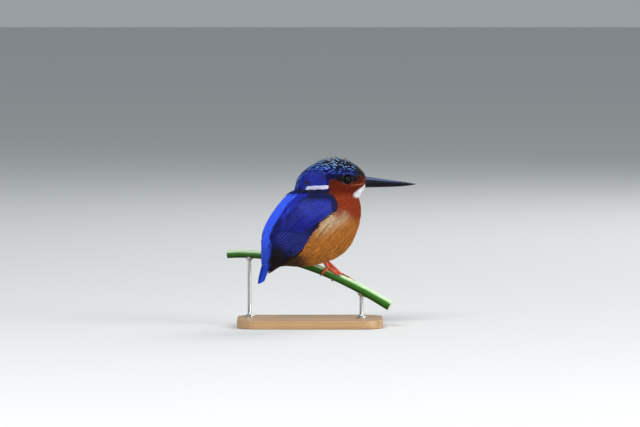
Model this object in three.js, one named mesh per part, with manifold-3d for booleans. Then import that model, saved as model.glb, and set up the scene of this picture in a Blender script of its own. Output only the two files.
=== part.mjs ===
// Madagascar kingfisher (Corythornis vintsioides), life size, perched lengthwise on a cut
// sedge stem that two short rods hold above a flat base.
// Millimetres, +Z up. The origin is the middle of the base's underside. The head looks along +X,
// the bird's right side faces -Y, and the trunk is turned a little to the left of the head.
import * as THREE from 'three';
import { mergeVertices } from 'three/addons/utils/BufferGeometryUtils.js';
import Module from 'manifold-3d';

const wasm = await Module();
wasm.setup();

// ---- driving dimensions -------------------------------------------------------------------

const GAP = 0.3; // clearance between neighbouring pieces
const TRUNK_YAW = 15; // degrees that the trunk is turned from +X towards +Y
const HEAD_YAW = 3; // degrees that the head is turned the same way

// The bird's own origin: the top of the stem at the right foot.
const FEET = new THREE.Vector3(10, 0, 41);

const STEM_RADII = [2.8, 3.5]; // at the left and the right end
const STEM_RIDGE = 0.12; // how far the three blunt edges of the sedge stem stand out
const STEM_LEAN = 10; // degrees that the stem's left end swings away, towards +Y

const BASE = { length: 102, depth: 62, height: 6, corner: 14, bevel: 0.8 };
const ROD = { radius: 1.3, footRadius: 3.6, footHeight: 2.4, cupRadius: 2.7, cupHeight: 3.4 };
const ROD_AT = [-42.5, 36]; // the rods' X, left and right

const EYE = { radius: 2.6, ahead: 15.7, up: 62.4, out: 8.6 };

const LEG = { ankleRadius: 1.6, tarsusRadius: 1.3, rise: 9.5, spread: 1.6 };
const TOE_RADIUS = 0.9;
const CLAW = { length: 2.1, radius: 0.42, hook: 0.75 };

// ---- solids -------------------------------------------------------------------------------

const radians = THREE.MathUtils.degToRad;

/** A closed three.js geometry as a manifold solid that faces outwards. */
function solid(geometry) {
  const bare = new THREE.BufferGeometry();
  bare.setAttribute('position', geometry.getAttribute('position'));
  if (geometry.index) bare.setIndex(geometry.index);
  const merged = mergeVertices(bare, 1e-4);
  const position = merged.getAttribute('position');
  const at = (corner) => new THREE.Vector3().fromBufferAttribute(position, corner);
  const corners = [];
  let volume = 0;
  for (let i = 0; i < merged.index.count; i += 3) {
    const [a, b, c] = [0, 1, 2].map((k) => merged.index.getX(i + k));
    if (a === b || b === c || c === a) continue;
    corners.push(a, b, c);
    volume += at(a).dot(at(b).cross(at(c)));
  }
  return new wasm.Manifold(new wasm.Mesh({
    numProp: 3,
    vertProperties: position.array,
    triVerts: new Uint32Array(volume < 0 ? corners.reverse() : corners),
  }));
}

/** A loft through rings of as many points each, closed at both ends by fans. */
function loft(rings) {
  const sides = rings[0].length;
  const last = rings.length - 1;
  const middle = (ring) => ring.reduce((sum, p) => sum.add(p), new THREE.Vector3()).divideScalar(sides);
  const [startMiddle, endMiddle] = [rings.length * sides, rings.length * sides + 1];
  const corners = [];
  for (let j = 0; j < sides; j++) {
    const k = (j + 1) % sides;
    corners.push(startMiddle, k, j);
    corners.push(endMiddle, last * sides + j, last * sides + k);
    for (let i = 0; i < last; i++) {
      const [a, b] = [i * sides + j, i * sides + k];
      corners.push(a, b, b + sides, a, b + sides, a + sides);
    }
  }
  const geometry = new THREE.BufferGeometry();
  geometry.setFromPoints([...rings.flat(), middle(rings[0]), middle(rings[last])]);
  geometry.setIndex(corners);
  return solid(geometry);
}

function union(solids) {
  return solids.reduce((joined, next) => joined.add(next));
}

/** A named mesh of a solid. */
function node(name, shape, material) {
  const mesh = shape.getMesh();
  const geometry = new THREE.BufferGeometry();
  const points = new Float32Array(mesh.numVert * 3);
  for (let i = 0; i < mesh.numVert; i++) {
    const start = i * mesh.numProp;
    points.set(mesh.vertProperties.subarray(start, start + 3), i * 3);
  }
  geometry.setAttribute('position', new THREE.BufferAttribute(points, 3));
  geometry.setIndex(new THREE.BufferAttribute(mesh.triVerts, 1));
  geometry.computeVertexNormals();
  const made = new THREE.Mesh(geometry, material.clone());
  made.name = name;
  return made;
}

/** Smooth values through the rows of a table, where share runs from 0, the first row, to 1. */
function between(rows) {
  const places = rows.map((row, i) => i / (rows.length - 1));
  const curve = new THREE.CubicInterpolant(places, rows.flat(), rows[0].length);
  return (share) => Array.from(curve.evaluate(share));
}

/** A signed power, which squares off a sine or cosine. */
const signedPower = (value, power) => Math.sign(value) * Math.abs(value) ** power;

/** Turns a shape in the bird's own frame to where it stands, about the upright line through FEET. */
function placed(shape, yaw) {
  return shape.rotate([0, 0, yaw]).translate([FEET.x, FEET.y, FEET.z]);
}

// ---- trunk --------------------------------------------------------------------------------

// The trunk's axis rises forwards from above the tail. Each row: distance along the axis, the back
// and the belly measured from the axis towards the belly, and the half width.
const TRUNK_START = { x: -38, z: 6 };
const TRUNK_PITCH = radians(50.8);
const TRUNK_ROUNDNESS = 2 / 2.15; // the exponent that squares the sections off a little
const TRUNK_ROWS = [
  [-11, 2.8, 2.8, 0],
  [-8.5, -1, 4.5, 3.5],
  [-4, -6.3, 6.1, 7],
  [2, -10.8, 8.8, 10.6],
  [7.5, -14.8, 17.2, 14.2],
  [17, -19.2, 27.3, 18.4],
  [28, -20.3, 34.6, 21],
  [40, -20.3, 38.2, 21.8],
  [51, -17.2, 36.2, 21],
  [61, -10, 32.3, 17.4],
  [69, -2, 26.5, 12.4],
  [74, 6, 19, 6.6],
  [75.5, 12, 12, 0],
];
const trunkAt = between(TRUNK_ROWS);
const trunkAxis = { x: Math.cos(TRUNK_PITCH), z: Math.sin(TRUNK_PITCH) };

/** The point of the trunk's side plane at a distance along its axis and another towards the belly. */
function trunkPlane(along, belly) {
  return {
    x: TRUNK_START.x + along * trunkAxis.x + belly * trunkAxis.z,
    z: TRUNK_START.z + along * trunkAxis.z - belly * trunkAxis.x,
  };
}

function trunk(grow = 0) {
  const sides = 24;
  const rings = 18;
  const sections = [];
  for (let i = 0; i <= rings; i++) {
    const share = 0.012 + (0.976 * i) / rings;
    const [along, back, belly, width] = trunkAt(share);
    const middle = (back + belly) / 2;
    const ring = [];
    for (let j = 0; j < sides; j++) {
      const turn = (j / sides) * 2 * Math.PI;
      const reach = (belly - back) / 2 + grow;
      const h = middle + reach * signedPower(Math.cos(turn), TRUNK_ROUNDNESS);
      const y = (width + grow) * signedPower(Math.sin(turn), TRUNK_ROUNDNESS);
      const { x, z } = trunkPlane(along, h);
      ring.push(new THREE.Vector3(x, y, z));
    }
    sections.push(ring);
  }
  return loft(sections);
}

/** The trunk's half width at a point of its side plane, or 0 outside its outline. */
function trunkSide(x, z) {
  const [dx, dz] = [x - TRUNK_START.x, z - TRUNK_START.z];
  const along = dx * trunkAxis.x + dz * trunkAxis.z;
  const h = dx * trunkAxis.z - dz * trunkAxis.x;
  let [low, high] = [0, 1];
  for (let i = 0; i < 30; i++) {
    const share = (low + high) / 2;
    if (trunkAt(share)[0] < along) low = share;
    else high = share;
  }
  const [, back, belly, width] = trunkAt(low);
  const off = Math.abs(h - (back + belly) / 2) / ((belly - back) / 2);
  const power = 2 / TRUNK_ROUNDNESS;
  return off < 1 && width > 0 ? width * (1 - off ** power) ** (1 / power) : 0;
}

// ---- head and bill ------------------------------------------------------------------------

// Each row, from the nape to the bill: X, underside, level of the widest point, top, half width.
const HEAD_ROWS = [
  [-20.8, 56, 56, 56, 0],
  [-19.8, 50, 56, 61, 7],
  [-16.6, 42, 55.5, 66.3, 11.5],
  [-10, 38, 56, 71.9, 13.8],
  [-2, 37, 57, 75.4, 14],
  [6, 39, 58, 76.8, 12.9],
  [14, 43, 59.5, 76, 11],
  [20.5, 47, 60.5, 73.6, 8.9],
  [25.5, 51.2, 60.8, 69.6, 6.4],
  [28.6, 54.6, 60.6, 65.6, 4.5],
  [30.2, 57.5, 60.3, 62.6, 2.6],
  [30.8, 60.3, 60.3, 60.3, 0],
];

// Each row, from the root inside the face to the tip: X, underside, top, half width.
const BILL_ROWS = [
  [26, 56.1, 64.7, 3.7],
  [30, 56.3, 64, 3.6],
  [36, 56.4, 63.1, 3.1],
  [44, 56.6, 61.9, 2.4],
  [52, 56.9, 60.8, 1.7],
  [58, 57.4, 59.95, 1.1],
  [62, 58, 59.25, 0.55],
  [64.2, 58.5, 58.85, 0.15],
];
const MOUTH = { x: 27, z: 59.7, tilt: 1.4, gap: 0.24 }; // a point between the mandibles, their fall

/** Rings across X, with a lower and an upper half of their own heights. */
function ringsAcross(rows, rings, sides, roundness, ends) {
  const at = between(rows);
  const sections = [];
  for (let i = 0; i <= rings; i++) {
    const [x, low, level, top, width] = at(ends + ((1 - 2 * ends) * i) / rings);
    const ring = [];
    for (let j = 0; j < sides; j++) {
      const turn = (j / sides) * 2 * Math.PI;
      const up = signedPower(Math.cos(turn), roundness);
      const y = -width * signedPower(Math.sin(turn), roundness);
      const z = level + (up > 0 ? top - level : level - low) * up;
      ring.push(new THREE.Vector3(x, y, z));
    }
    sections.push(ring);
  }
  return loft(sections);
}

function head(grow = 0) {
  const rows = HEAD_ROWS.map(([x, low, level, top, width]) =>
    [x, low - grow, level, top + grow, width + grow]);
  return ringsAcross(rows, 16, 24, 1, 0.014);
}

function bill(grow = 0) {
  const rows = BILL_ROWS.map(([x, low, top, width]) =>
    [x, low - grow, (low + top) / 2 - 0.2, top + grow, width + grow]);
  return ringsAcross(rows, 9, 12, 1.12, 0);
}

function eye(side, grow = 0) {
  return solid(new THREE.SphereGeometry(EYE.radius + grow, 12, 8))
    .translate([EYE.ahead, side * EYE.out, EYE.up]);
}

// The cuts that part head, neck and trunk: a point of each in the bird's frame, and its tilt.
const THROAT_CUT = { x: -20, z: 56.2, tilt: 6.5 };
const BREAST_CUT = { x: -27, z: 50.2, tilt: 12 };

/** A thin slab across the bird, for a cut through a point, tilted from level about Y. */
function slab(x, z, tilt, thickness) {
  return solid(new THREE.BoxGeometry(160, 160, thickness))
    .rotate([0, tilt, 0])
    .translate([x, 0, z]);
}

/** The separate bodies of a shape from the lowest to the highest, less any crumbs. */
function bodies(shape) {
  const least = 1;
  const height = (body) => body.boundingBox().min[2] + body.boundingBox().max[2];
  return shape.decompose().filter((b) => b.volume() > least).sort((a, b) => height(a) - height(b));
}

// ---- wings --------------------------------------------------------------------------------

// Outline of the folded wing's coverts on the side plane, both edges from the shoulder to the end.
const WING_BACK_EDGE = [[-8, 55], [-19.5, 53], [-29.5, 45], [-36.5, 35], [-40, 27], [-38.5, 19.5]];
const WING_FRONT_EDGE = [[-8, 55], [1.5, 51], [3.5, 43.5], [-6, 37], [-19, 30], [-38.5, 19.5]];
const WING_THICKNESS = 2.3; // of the middle, over that of the edge
const WING_EDGE = 0.5;
const WING_ENDS = 0.03; // share of its length that is left off at each end, where it is thinnest
const WING_FLOAT = 8.6; // distance of the wing from the midplane where no trunk lies under it

// Flight feathers, from the innermost, which lies on top, to the outermost, the longest primary.
const FLIGHT = {
  count: 6,
  roots: [[-33, 37], [-12, 34]],
  tips: [[-43, 17.5], [-41, 3.6]],
  halfWidth: 3.1,
  thickness: 0.6,
  ridge: 0.15, // how far the shaft stands out
  step: 0.24,
};

/** The wing's inner surface: the trunk's side, or a plane beside the tail past its end. */
function wingFloor(x, z) {
  const [side, least, blend] = [trunkSide(x, z), WING_FLOAT, 3];
  return GAP + 0.1 + (side + least + Math.hypot(side - least, blend)) / 2;
}

/** A point above the wing's inner surface, on the left (side 1) or the right (side -1). */
function onWing(side, x, z, height) {
  return new THREE.Vector3(x, side * (wingFloor(x, z) + height), z);
}

function curveXZ(points) {
  return new THREE.SplineCurve(points.map(([x, z]) => new THREE.Vector2(x, z)));
}

/** The arm with its coverts: a shell over the trunk's side, thickest in the middle. */
function wingShell(side) {
  const [backEdge, frontEdge] = [curveXZ(WING_BACK_EDGE), curveXZ(WING_FRONT_EDGE)];
  const [rings, across] = [11, 6];
  const sections = [];
  for (let i = 0; i <= rings; i++) {
    const a = WING_ENDS + ((1 - 2 * WING_ENDS) * i) / rings;
    const [p, q] = [backEdge.getPoint(a), frontEdge.getPoint(a)];
    const full = WING_THICKNESS * Math.sin(Math.PI * a ** 0.8) ** 0.5;
    const ring = [];
    for (let j = 0; j <= across; j++) {
      const b = j / across;
      const height = WING_EDGE + full * Math.sin(Math.PI * b) ** 0.6;
      ring.push(onWing(side, ...p.clone().lerp(q, b), height));
    }
    for (let j = across; j >= 0; j--) ring.push(onWing(side, ...p.clone().lerp(q, j / across), 0));
    sections.push(ring);
  }
  return loft(sections);
}

/** One long feather, from a root to a tip on the side plane, with a rounded tip. */
function blade(side, root, tip, height, grow) {
  const [start, end] = [new THREE.Vector2(...root), new THREE.Vector2(...tip)];
  const across = end.clone().sub(start).normalize().rotateAround(new THREE.Vector2(), Math.PI / 2);
  const steps = [0, 0.3, 0.6, 0.85, 0.96, 1];
  const sections = steps.map((share) => {
    const rootWidth = 0.3 + 2.6 * share;
    const tipWidth = 0.12 + 1.35 * (1 - share) ** 0.5;
    const width = grow + FLIGHT.halfWidth * Math.min(1, rootWidth, tipWidth);
    const middle = start.clone().lerp(end, share);
    const point = (b, h) => onWing(side, ...middle.clone().addScaledVector(across, b * width), h);
    const [low, high] = [height - grow, height + FLIGHT.thickness + grow];
    const ring = [point(-1, low), point(0, low), point(1, low)];
    ring.push(point(1, high), point(0, high + FLIGHT.ridge), point(-1, high));
    return ring;
  });
  return loft(sections);
}

function flightFeathers(side, grow = 0) {
  const blades = [];
  for (let i = 0; i < FLIGHT.count; i++) {
    const share = i / (FLIGHT.count - 1);
    const mix = ([from, to]) => from.map((value, k) => value + (to[k] - value) * share);
    const height = (FLIGHT.count - 1 - i) * FLIGHT.step;
    blades.push(blade(side, mix(FLIGHT.roots), mix(FLIGHT.tips), height, grow));
  }
  return union(blades);
}

// ---- tail ---------------------------------------------------------------------------------

const TAIL = {
  root: [-41, 16],
  tip: [-48.2, -10.6],
  count: 7,
  spread: 5.8, // how far the outer feathers' tips lie from the middle
  rootSpread: 2.4,
  halfWidth: 2.5,
  thickness: 0.6,
  ridge: 0.2,
  step: 0.3, // each feather lies this much further forwards than the next one inwards
  shorter: 0.9, // and ends this much higher
};

function tail() {
  const [start, end] = [new THREE.Vector2(...TAIL.root), new THREE.Vector2(...TAIL.tip)];
  const length = start.distanceTo(end);
  const down = end.clone().sub(start).normalize();
  const forward = new THREE.Vector2(-down.y, down.x); // out of the tail's face towards the belly
  const feathers = [];
  const middle = (TAIL.count - 1) / 2;
  for (let i = -middle; i <= middle; i++) {
    const steps = [0, 0.5, 0.85, 0.96, 1];
    feathers.push(loft(steps.map((share) => {
      const spread = TAIL.rootSpread + (TAIL.spread - TAIL.rootSpread) * share;
      const y = (i / middle) * spread;
      const width = TAIL.halfWidth * Math.min(1, 0.15 + 1.4 * (1 - share) ** 0.5);
      const centre = start.clone().addScaledVector(down, share * (length - TAIL.shorter * Math.abs(i)));
      const point = (b, depth) => {
        const at = centre.clone().addScaledVector(forward, TAIL.step * Math.abs(i) + depth);
        return new THREE.Vector3(at.x, y + b * width, at.y);
      };
      const back = [point(-1, 0), point(0, -TAIL.ridge), point(1, 0)];
      return [...back, ...[1, 0, -1].map((b) => point(b, TAIL.thickness))];
    })));
  }
  return union(feathers);
}

// ---- stem, feet and claws -----------------------------------------------------------------

/** The stem's centre line: a shallow arch that passes under FEET and swings with STEM_LEAN. */
function stemCurve() {
  const swing = -Math.tan(radians(STEM_LEAN));
  const at = (ahead, up) => new THREE.Vector3(ahead, ahead * swing, up).add(FEET);
  return new THREE.CubicBezierCurve3(at(-68, 8.7), at(-30, 12), at(8, -3.2), at(46, -26.3));
}
const stemLine = stemCurve();
const stemLength = stemLine.getLength();

function stemRadius(share) {
  const [left, right] = STEM_RADII;
  return left + (right - left) * share ** 2;
}

/** Unit vectors at a share of the stem's length: along it, up, and towards -Y. */
function stemFrame(share) {
  const along = stemLine.getTangentAt(share);
  const near = new THREE.Vector3().crossVectors(along, new THREE.Vector3(0, 0, 1)).normalize();
  return { along, near, up: new THREE.Vector3().crossVectors(near, along) };
}

/** A sedge stem: a round section with three blunt edges, one of them along the top. */
function stem(grow = 0) {
  const [rings, sides] = [16, 12];
  const sections = [];
  for (let i = 0; i <= rings; i++) {
    const share = i / rings;
    const { up, near } = stemFrame(share);
    const ring = [];
    for (let j = 0; j < sides; j++) {
      const turn = (j / sides) * 2 * Math.PI;
      const radius = stemRadius(share) + grow + STEM_RIDGE * Math.cos(3 * turn);
      ring.push(stemLine.getPointAt(share)
        .addScaledVector(up, radius * Math.cos(turn))
        .addScaledVector(near, radius * Math.sin(turn)));
    }
    sections.push(ring);
  }
  return loft(sections);
}

/** The share of the stem's length at which it passes an X. */
function stemShare(x) {
  let [low, high] = [0, 1];
  for (let i = 0; i < 30; i++) {
    const share = (low + high) / 2;
    if (stemLine.getPointAt(share).x < x) low = share;
    else high = share;
  }
  return low;
}
const FEET_SHARE = stemShare(FEET.x);

/** A point by the stem: along it from FEET, round it from the top towards -Y, and off it. */
function byStem(along, turn, off) {
  const share = FEET_SHARE + along / stemLength;
  const { up, near } = stemFrame(share);
  const radius = stemRadius(share) + off;
  return stemLine.getPointAt(share)
    .addScaledVector(up, radius * Math.cos(radians(turn)))
    .addScaledVector(near, radius * Math.sin(radians(turn)));
}

/** A limb along a curve, with a round section whose radius goes from one value to another. */
function limb(points, fromRadius, toRadius, rings, sides = 8) {
  const curve = new THREE.CatmullRomCurve3(points);
  const frames = curve.computeFrenetFrames(rings, false);
  const sections = [];
  for (let i = 0; i <= rings; i++) {
    const share = i / rings;
    const radius = fromRadius + (toRadius - fromRadius) * share;
    const middle = curve.getPointAt(share);
    const ring = [];
    for (let j = 0; j < sides; j++) {
      const turn = (j / sides) * 2 * Math.PI;
      ring.push(middle.clone()
        .addScaledVector(frames.normals[i], radius * Math.cos(turn))
        .addScaledVector(frames.binormals[i], radius * Math.sin(turn)));
    }
    sections.push(ring);
  }
  return loft(sections);
}

// Where each foot stands: along the stem, and turned round it towards the foot's own side.
// lean is how far the ankle is behind the foot.
const STANCE = { '-1': { ahead: 2.8, turn: 14, lean: 5.5 }, 1: { ahead: 11, turn: 42, lean: 10.6 } };

// Each toe: where it starts and ends along the stem and round it, from the foot's own place.
const TOES = [
  { from: 0.6, to: 5.2, fromTurn: -6, toTurn: -16 }, // second
  { from: 0.8, to: 10.6, fromTurn: -2, toTurn: 2 }, // third
  { from: 0.4, to: 8.8, fromTurn: 10, toTurn: 38 }, // fourth
  { from: -0.2, to: -2.4, fromTurn: 8, toTurn: 104 }, // first, the hind toe
];
const TOE_OFF = 0.62; // the toes' middle lines above the stem

/** A point by the stem from where a foot stands: ahead of it, further out than it, and off. */
function byFoot(side, along, turn, off) {
  const foot = STANCE[side];
  return byStem(foot.ahead + along, -side * (foot.turn + turn), off);
}

function toe(side, { from, to, fromTurn, toTurn }) {
  const points = [0, 0.33, 0.66, 1].map((share) => byFoot(
    side,
    from + (to - from) * share,
    fromTurn + (toTurn - fromTurn) * share,
    TOE_OFF + 0.25 * Math.sin(Math.PI * share),
  ));
  return limb(points, TOE_RADIUS * 1.12, TOE_RADIUS * 0.74, 5);
}

/** A claw that carries a toe's line onwards and hooks down at the tip. */
function claw(side, { from, to, fromTurn, toTurn }) {
  const [length, turns] = [to - from, toTurn - fromTurn];
  const toeLength = Math.hypot(length, radians(turns) * STEM_RADII[0]);
  const points = [0, 0.5, 1].map((share) => {
    const onward = 1 + (GAP + CLAW.length * share) / toeLength;
    const off = TOE_OFF + GAP + 0.2 * share - CLAW.hook * share ** 3;
    return byFoot(side, from + length * onward, fromTurn + turns * onward, off);
  });
  return limb(points, CLAW.radius, 0.09, 3, 6);
}

/** The tarsus and sole, from inside the belly down to the stem. */
function shank(side, grow = 0) {
  const ball = byFoot(side, 0, 0, 1);
  const sole = byFoot(side, 2.2, 0, 0.7);
  const ankle = ball.clone().add(new THREE.Vector3(-STANCE[side].lean, side * LEG.spread, LEG.rise));
  const shin = ball.clone().lerp(ankle, 0.3);
  return limb([ankle, shin, ball, sole], LEG.ankleRadius + grow, LEG.tarsusRadius + grow, 6);
}

function leg(side) {
  return union([shank(side), ...TOES.map((one) => toe(side, one))]);
}

// ---- stand --------------------------------------------------------------------------------

function base() {
  const { length, depth, height, corner, bevel } = BASE;
  const [x, y] = [length / 2 - bevel, depth / 2 - bevel];
  const outline = new THREE.Shape();
  outline.moveTo(-x + corner, -y);
  outline.lineTo(x - corner, -y);
  outline.absarc(x - corner, -y + corner, corner, -Math.PI / 2, 0);
  outline.absarc(x - corner, y - corner, corner, 0, Math.PI / 2);
  outline.absarc(-x + corner, y - corner, corner, Math.PI / 2, Math.PI);
  outline.absarc(-x + corner, -y + corner, corner, Math.PI, Math.PI * 1.5);
  const options = { depth: height - 2 * bevel, bevelSize: bevel, bevelThickness: bevel };
  const plate = new THREE.ExtrudeGeometry(outline, { ...options, bevelSegments: 1, curveSegments: 5 });
  return solid(plate).translate([0, 0, bevel]);
}

/** A rod with a turned foot, and a cup that is cut to the stem's underside. */
function rod(x) {
  const under = stemLine.getPointAt(stemShare(x));
  const top = under.z - BASE.height;
  const { radius, footRadius, footHeight, cupRadius, cupHeight } = ROD;
  const profile = [
    [0, 0], [footRadius, 0], [footRadius, footHeight * 0.4], [radius, footHeight],
    [radius, top - cupHeight - 1.4], [cupRadius, top - cupHeight], [cupRadius, top], [0, top],
  ].map(([r, z]) => new THREE.Vector2(r, z));
  const turned = new THREE.LatheGeometry(profile, 12).rotateX(Math.PI / 2);
  return solid(turned).translate([under.x, under.y, BASE.height]);
}

// ---- materials ----------------------------------------------------------------------------

function finish(color, roughness, metalness = 0) {
  return new THREE.MeshStandardMaterial({ color, roughness, metalness });
}
const materials = {
  blue: finish(0x1c2fb8, 0.6),
  darkBlue: finish(0x14186a, 0.6),
  rufous: finish(0xb0632c, 0.8),
  buff: finish(0xc8884a, 0.8),
  horn: finish(0x17171d, 0.35),
  eye: finish(0x140c08, 0.1),
  leg: finish(0xd8452c, 0.5),
  claw: finish(0x3a1d18, 0.4),
  stem: finish(0x4f8a2c, 0.5),
  wood: finish(0xb9a58a, 0.6),
  steel: finish(0xb5b5b2, 0.3, 1),
};

// ---- assembly -----------------------------------------------------------------------------

const SIDES = { left: 1, right: -1 };

/** Head, neck and trunk made as one body, then parted by two thin cuts. */
function partedBody() {
  const eyes = eye(1, GAP).add(eye(-1, GAP));
  const face = head().subtract(bill(GAP)).subtract(eyes);
  const whole = placed(trunk(), TRUNK_YAW).add(placed(face, HEAD_YAW));
  const aroundFeet = Object.values(SIDES).map((side) => shank(side, GAP));
  const cleared = whole.subtract(stem(GAP)).subtract(union(aroundFeet));
  const parted = [THROAT_CUT, BREAST_CUT].reduce(
    (rest, { x, z, tilt }) => rest.subtract(slab(FEET.x + x, FEET.z + z, tilt, GAP)),
    cleared,
  );
  return bodies(parted);
}

const bird = new THREE.Group();
const [trunkBody, neckBody, headBody] = partedBody();
bird.add(node('trunk', trunkBody, materials.buff));
bird.add(node('neck', neckBody, materials.rufous));
bird.add(node('head', headBody, materials.blue));

const [lowerBill, upperBill] = bodies(bill().subtract(slab(MOUTH.x, MOUTH.z, MOUTH.tilt, MOUTH.gap)));
bird.add(node('bill_upper', placed(upperBill, HEAD_YAW), materials.horn));
bird.add(node('bill_lower', placed(lowerBill, HEAD_YAW), materials.horn));

const tailBody = placed(tail(), TRUNK_YAW).subtract(placed(trunk(GAP), TRUNK_YAW));
bird.add(node('tail', bodies(tailBody)[0], materials.blue));

for (const [name, side] of Object.entries(SIDES)) {
  bird.add(node(`eye_${name}`, placed(eye(side), HEAD_YAW), materials.eye));

  const quills = placed(flightFeathers(side), TRUNK_YAW);
  const grownQuills = placed(flightFeathers(side, GAP), TRUNK_YAW);
  const grownHead = placed(head(GAP), HEAD_YAW);
  const shell = placed(wingShell(side), TRUNK_YAW).subtract(grownHead).subtract(grownQuills);
  bird.add(node(`wing_${name}`, bodies(shell).at(-1), materials.blue));
  bird.add(node(`flight_feathers_${name}`, quills.subtract(stem(GAP)), materials.darkBlue));

  bird.add(node(`leg_${name}`, leg(side).subtract(stem(GAP)), materials.leg));
  TOES.forEach((one, i) => {
    bird.add(node(`claw_${name}_${i + 1}`, claw(side, one), materials.claw));
  });
}

const mount = new THREE.Group();
mount.add(node('perch', stem(), materials.stem));
mount.add(node('stand_base', base(), materials.wood));
ROD_AT.forEach((x, i) => {
  mount.add(node(`stand_rod_${['left', 'right'][i]}`, rod(x).subtract(stem(GAP)), materials.steel));
});

const kingfisher = new THREE.Group();
kingfisher.add(bird, mount);

export default kingfisher;
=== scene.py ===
"""Looks of the Malagasy kingfisher on its display stand.

Shapes are worked out in millimetres, in the CAD's frame, and made into meshes in metres.
The bird has two frames of its own, the head's and the trunk's. Both have their origin at FEET,
the top of the stem at the right foot, and each is turned about the upright line through it.
"""

import math

import bpy
import numpy as np
from mathutils import Matrix, Vector
from mathutils.bvhtree import BVHTree
from mathutils.kdtree import KDTree


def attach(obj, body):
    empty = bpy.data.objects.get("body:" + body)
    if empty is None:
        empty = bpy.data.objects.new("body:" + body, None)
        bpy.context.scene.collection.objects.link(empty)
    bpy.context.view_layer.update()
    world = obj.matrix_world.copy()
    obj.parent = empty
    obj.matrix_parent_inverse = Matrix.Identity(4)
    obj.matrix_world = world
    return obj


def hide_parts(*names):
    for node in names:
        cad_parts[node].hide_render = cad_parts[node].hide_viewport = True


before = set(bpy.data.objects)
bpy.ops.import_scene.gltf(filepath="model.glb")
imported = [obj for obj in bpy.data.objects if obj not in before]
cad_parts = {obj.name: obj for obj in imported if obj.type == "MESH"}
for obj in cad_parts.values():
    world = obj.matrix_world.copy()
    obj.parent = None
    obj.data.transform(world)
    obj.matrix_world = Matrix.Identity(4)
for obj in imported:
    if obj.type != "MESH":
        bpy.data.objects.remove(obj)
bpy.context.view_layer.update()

MM = 0.001
FEET = np.array([10.0, 0.0, 41.0])  # as in the CAD
HEAD_YAW = math.radians(3)  # how far the head is turned towards the bird's left
TRUNK_YAW = math.radians(15)  # and the trunk
BILL_ROOT = np.array([29.0, 0.0, 60.0])  # head frame: where the feathers part round the bill
random = np.random.default_rng(20)  # one source for every draw, so that their order matters


# ---- points and directions ----


def turned(points, yaw):
    """Points or directions turned about Z."""
    c, s = math.cos(yaw), math.sin(yaw)
    return np.asarray(points, float) @ np.array([[c, s, 0], [-s, c, 0], [0, 0, 1]])


def to_world(points, yaw):
    """Points of the head's or the trunk's frame in the CAD's frame."""
    return turned(points, yaw) + FEET


def to_bird(points, yaw):
    """Points of the CAD's frame in the head's or the trunk's frame."""
    return turned(np.asarray(points, float) - FEET, -yaw)


def unit(vectors):
    """Vectors made one long."""
    return vectors / np.maximum(np.linalg.norm(vectors, axis=-1, keepdims=True), 1e-9)


def tangent(vectors, normals):
    """Directions laid flat on a surface with these normals."""
    return unit(vectors - (vectors * normals).sum(-1, keepdims=True) * normals)


def smooth(value, low, high):
    """0 below low, 1 above high, and an even S between them."""
    t = np.clip((value - low) / (high - low), 0, 1)
    return t * t * (3 - 2 * t)


def mix(colour, other, share):
    """A colour with a share of another in it. Each is one colour or one for each share."""
    share = np.asarray(share)[..., None]
    return colour * (1 - share) + other * share


def painted(colour, *layers):
    """A colour with others laid over it in turn, each by its share."""
    for other, share in layers:
        colour = mix(colour, other, share)
    return colour


def even_steps(line, count):
    """A line's shares, so many places at even steps along it, and its length."""
    run = np.concatenate([[0], np.cumsum(np.linalg.norm(np.diff(line, axis=0), axis=1))])
    shares = np.linspace(0, 1, count)
    places = np.stack([np.interp(shares * run[-1], run, column) for column in line.T], 1)
    return shares, places, run[-1]


def full_turn(count):
    """Angles at even steps all the way round."""
    return np.linspace(0, 2 * math.pi, count, endpoint=False)


def smooth_line(values, rounds):
    """A line's inner points drawn so many times towards their neighbours."""
    values = values.copy()
    for _ in range(rounds):
        values[1:-1] = (values[:-2] + 2 * values[1:-1] + values[2:]) / 4
    return values


def waves(points, size):
    """Soft noise from -1 to 1 with blotches of about this size, the same on every run."""
    total = np.zeros(len(points))
    spins = np.random.default_rng(3)
    for _ in range(6):
        direction = unit(spins.normal(size=3))
        phase = spins.uniform(0, 2 * math.pi)
        total += np.sin(points @ direction * 2 * math.pi / size / spins.uniform(0.8, 1.6) + phase)
    return total / 3.5


# ---- meshes ----

CRISP_ANGLE = math.radians(50)  # edges bent by more than this are crisp on feathers


def make_mesh(name, points, *face_sets, colours=None, uv=None, crisp=False):
    """A smooth object from points in millimetres and arrays of faces, each of faces of one size."""
    mesh = bpy.data.meshes.new(name)
    face_sets = [np.asarray(faces, np.int32) for faces in face_sets]
    sizes = np.concatenate([np.full(len(faces), faces.shape[1]) for faces in face_sets])
    corners = np.concatenate([faces.ravel() for faces in face_sets])
    mesh.vertices.add(len(points))
    mesh.vertices.foreach_set("co", (np.asarray(points) * MM).astype(np.float32).ravel())
    mesh.loops.add(len(corners))
    mesh.loops.foreach_set("vertex_index", corners)
    mesh.polygons.add(len(sizes))
    mesh.polygons.foreach_set("loop_start", (np.cumsum(sizes) - sizes).astype(np.int32))
    mesh.polygons.foreach_set("use_smooth", np.ones(len(sizes), bool))
    if uv is not None:
        layer = mesh.uv_layers.new(name="OFBake")
        layer.data.foreach_set("uv", uv[corners].astype(np.float32).ravel())
    if colours is not None:
        paint(mesh, colours)
    mesh.update(calc_edges=True)
    if crisp:
        mesh.set_sharp_from_angle(angle=CRISP_ANGLE)
    piece = bpy.data.objects.new(name, mesh)
    bpy.context.scene.collection.objects.link(piece)
    return piece


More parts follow.
